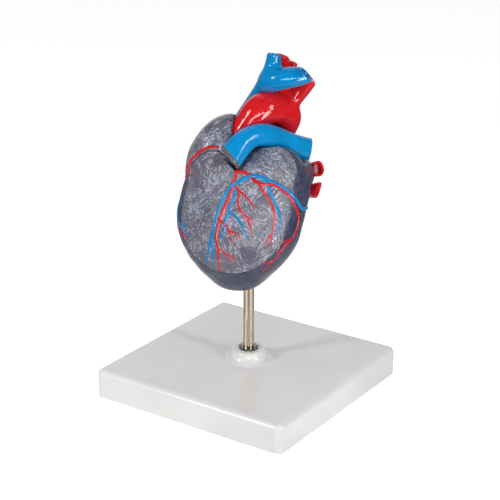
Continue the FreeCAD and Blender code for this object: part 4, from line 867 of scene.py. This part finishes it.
def buildCoronary(name, vessel):
    lines = []
    for route, radius in zip(vessel["routes"], vessel["radii"]):
        line, share = coronaryLine(route, radius)
        taper = np.clip((1 - share) / twigs["taper"], 0, 1)
        lines.append((line, radius * (twigs["thinnest"] + (1 - twigs["thinnest"]) * taper)))
    every = np.concatenate([line for line, radii in lines])
    grid, axes = makeGrid(every.min(0) - twigs["margin"], every.max(0) + twigs["margin"], twigs["step"])
    field = None
    for line, radii in lines:
        tube = tubeField(axes, line, radii, twigs["band"])
        field = tube if field is None else blendUnion(field, tube, twigs["join"])
    room = frontField(grid)
    finish, slot = {"red": (redEnamel, "artery_red"), "blue": (blueEnamel, "vein_blue")}[vessel["hue"]]
    sides = vessel.get("sides", ("front",))
    for side in sides:
        node = name if len(sides) == 1 else name + "_" + side
        limit = room if side == "front" else parting["gap"] - room
        points, faces = skinOf(np.maximum(field, limit), axes, twigs["step"])
        meshPiece(camelName(node), points, faces, "heart_" + side, slot, [node], finish)


for name, vessel in coronaries.items():
    buildCoronary(name, vessel)
print("coronary vessels made")

# floor, light and camera

stage = {
    "side": 3.0,  # metres
    "hue": "#f4f4f4",
    "glow": 0.55,
    "worldLight": 0.42,  # what reaches the object from all round
    # tones that only gloss sees, by compass turn as a share of a full turn: a dim sky with the pale
    # backdrop, then the near table, which glows with a painted reflection of the backdrop and two tall pale
    # screens
    "sky": [(0.72, "#606060"), (0.79, "#ffffff"), (0.903, "#ffffff"), (0.97, "#606060")],
    "room": [(0.083, "#959595"), (0.167, "#ffffff"), (0.256, "#ffffff"), (0.306, "#9e9e9e"),
             (0.383, "#9e9e9e"), (0.433, "#ffffff"), (0.522, "#ffffff"), (0.606, "#959595"),
             (0.722, "#959595"), (0.79, "#ffffff"), (0.903, "#ffffff"), (0.972, "#959595")],
    "roomReach": (170.0, 240.0),  # millimetres from the middle over which the table dims
    "roomEdge": 0.14,             # to this share
    # a bright strip at the horizon behind the camera, by turn and by level
    "strip": [(0.27, "#000000"), (0.295, "#ffffff"), (0.41, "#ffffff"), (0.44, "#000000")],
    "stripLevel": [(0.458, "#000000"), (0.472, "#ffffff"), (0.512, "#ffffff"), (0.528, "#000000")],
    "stripStrength": 17.0,
    # one painted pool of light on the far table, in front on the right, which only gloss sees
    "table": [(0.43, "#000000"), (0.447, "#ffffff"), (0.478, "#ffffff"), (0.495, "#000000")],
    "tableReach": (240.0, 320.0),
    "tableStrength": 22.0,
}


def compassTone(tree, place, name):
    # a tone by the compass turn of a place or a way
    turn = addNode(tree, "TexGradient", {"gradient_type": "RADIAL", "Vector": place}).outputs["Fac"]
    return addNode(tree, "ValToRGB", {"stops": stage[name], "Fac": turn}).outputs["Color"]


def straightView(tree):
    # 1 where gloss sees the room, and 1 where camera, gloss or clear plastic sees it
    seen = addNode(tree, "LightPath").outputs
    direct = seen["Is Camera Ray"]
    for ray in ("Is Glossy Ray", "Is Transmission Ray"):
        direct = addNode(tree, "Math", {"operation": "MAXIMUM", 0: direct, 1: seen[ray]}).outputs["Value"]
    return seen["Is Glossy Ray"], direct


def buildStage():
    data = bpy.data.meshes.new("floor")
    half = stage["side"] / 2
    corners = [(-half, -half, 0), (half, -half, 0), (half, half, 0), (-half, half, 0)]
    data.from_pydata(corners, [], [(0, 1, 2, 3)])
    floor = addObject("floor", data)
    material, tree, place = newMaterial("paleFloor")
    inGloss, direct = straightView(tree)
    strength = addNode(tree, "Math", {
        "operation": "MULTIPLY", 0: direct, 1: stage["glow"]}).outputs["Value"]
    glow = addNode(tree, "Emission", {"Color": (1, 1, 1, 1), "Strength": strength})
    matt = addNode(tree, "BsdfDiffuse", {"Color": hexColour(stage["hue"])})
    plain = addNode(tree, "AddShader", {0: glow.outputs["Emission"], 1: matt.outputs["BSDF"]})
    reach = addNode(tree, "VectorMath", {"operation": "LENGTH", 0: place}).outputs["Value"]
    far = addNode(tree, "MapRange", {
        "Value": reach, "From Min": stage["tableReach"][0], "From Max": stage["tableReach"][1],
        "To Max": stage["tableStrength"]}).outputs["Result"]
    # the floor glows for gloss alone: a painted pool of light on the far table and a painted reflection of
    # the room on the near one
    lit = addNode(tree, "Emission", {"Color": compassTone(tree, place, "table"), "Strength": far})
    near = addNode(tree, "MapRange", {
        "Value": reach, "From Min": stage["roomReach"][0], "From Max": stage["roomReach"][1],
        "To Min": 1.0, "To Max": stage["roomEdge"]}).outputs["Result"]
    dim = addNode(tree, "Emission", {"Color": compassTone(tree, place, "room"), "Strength": near})
    gloss = addNode(tree, "AddShader", {0: lit.outputs["Emission"], 1: dim.outputs["Emission"]})
    both = addNode(tree, "MixShader", {
        "Fac": inGloss, 1: plain.outputs["Shader"], 2: gloss.outputs["Shader"]})
    addNode(tree, "OutputMaterial", {"Surface": both.outputs["Shader"]})
    data.materials.append(material)


buildStage()

camera = {"turn": 34.09, "rise": 20.53, "roll": 0.24, "distance": 0.7885, "aim": (0.0, 0.0, 0.08007),
          "aside": 0.00055, "lens": 105.29, "sensor": 36.0, "nearest": 0.05}

lamps = {  # turn from +X and rise in degrees, metres away, size of the softbox, watts
    "rightSoftbox": {"turn": -6, "rise": 17, "away": 1.1, "size": (0.11, 0.50), "watts": 3.9},
    "leftSoftbox": {"turn": -118, "rise": 26, "away": 1.1, "size": (0.20, 0.24), "watts": 4.0},
    "frontFill": {"turn": -55, "rise": 6, "away": 1.4, "size": (0.6, 0.30), "watts": 2.6},
}
for name, lamp in lamps.items():
    light = bpy.data.lights.new(name, "AREA")
    light.shape = "RECTANGLE"
    light.size, light.size_y = lamp["size"]
    light.energy = lamp["watts"]
    holder = addObject(name, light)
    turn, rise = math.radians(lamp["turn"]), math.radians(lamp["rise"])
    way = Vector((math.cos(turn) * math.cos(rise), math.sin(turn) * math.cos(rise), math.sin(rise)))
    holder.location = Vector(camera["aim"]) + way * lamp["away"]
    holder.rotation_euler = way.to_track_quat("Z", "Y").to_euler()


def buildWorld():
    world = bpy.data.worlds.new("paleRoom")
    bpy.context.scene.world = world
    tree = emptyTree(world)
    inGloss, direct = straightView(tree)
    strength = addNode(tree, "MapRange", {"Value": direct, "To Min": stage["worldLight"]}).outputs["Result"]
    way = addNode(tree, "TexCoord").outputs["Generated"]
    level = addNode(tree, "SeparateXYZ", {"Vector": way}).outputs["Z"]
    level = addNode(tree, "MapRange", {"Value": level, "From Min": -1.0, "From Max": 1.0}).outputs["Result"]
    level = addNode(tree, "ValToRGB", {"stops": stage["stripLevel"], "Fac": level}).outputs["Color"]
    strip = addNode(tree, "VectorMath", {
        "operation": "MULTIPLY", 0: compassTone(tree, way, "strip"), 1: level}).outputs["Vector"]
    room = addNode(tree, "VectorMath", {
        "operation": "MULTIPLY_ADD", 0: strip, 1: (stage["stripStrength"],) * 3,
        2: compassTone(tree, way, "sky")}).outputs["Vector"]
    tone = addNode(tree, "Mix", {
        "data_type": "RGBA", "Factor": inGloss, 6: (1, 1, 1, 1), 7: room}).outputs[2]
    sky = addNode(tree, "Background", {"Color": tone, "Strength": strength})
    addNode(tree, "OutputWorld", {"Surface": sky.outputs["Background"]})


buildWorld()


def buildCamera():
    turn, rise, roll = (math.radians(camera[key]) for key in ("turn", "rise", "roll"))
    right = Vector((math.cos(turn), math.sin(turn), 0))
    back = Vector((math.cos(rise) * math.sin(turn), -math.cos(rise) * math.cos(turn), math.sin(rise)))
    above = back.cross(right)
    target = Vector(camera["aim"]) + right * camera["aside"]
    tiltedRight = right * math.cos(roll) + above * math.sin(roll)
    tiltedAbove = above * math.cos(roll) - right * math.sin(roll)
    data = bpy.data.cameras.new("camera")
    data.lens = camera["lens"]
    data.sensor_width = camera["sensor"]
    data.clip_start = camera["nearest"]
    holder = addObject("camera", data)
    holder.matrix_world = Matrix.Translation(target + back * camera["distance"]) @ Matrix(
        (tiltedRight, tiltedAbove, back)).transposed().to_4x4()
    bpy.context.scene.camera = holder


buildCamera()
bpy.context.scene.view_settings.view_transform = "Standard"
print("light and camera set")
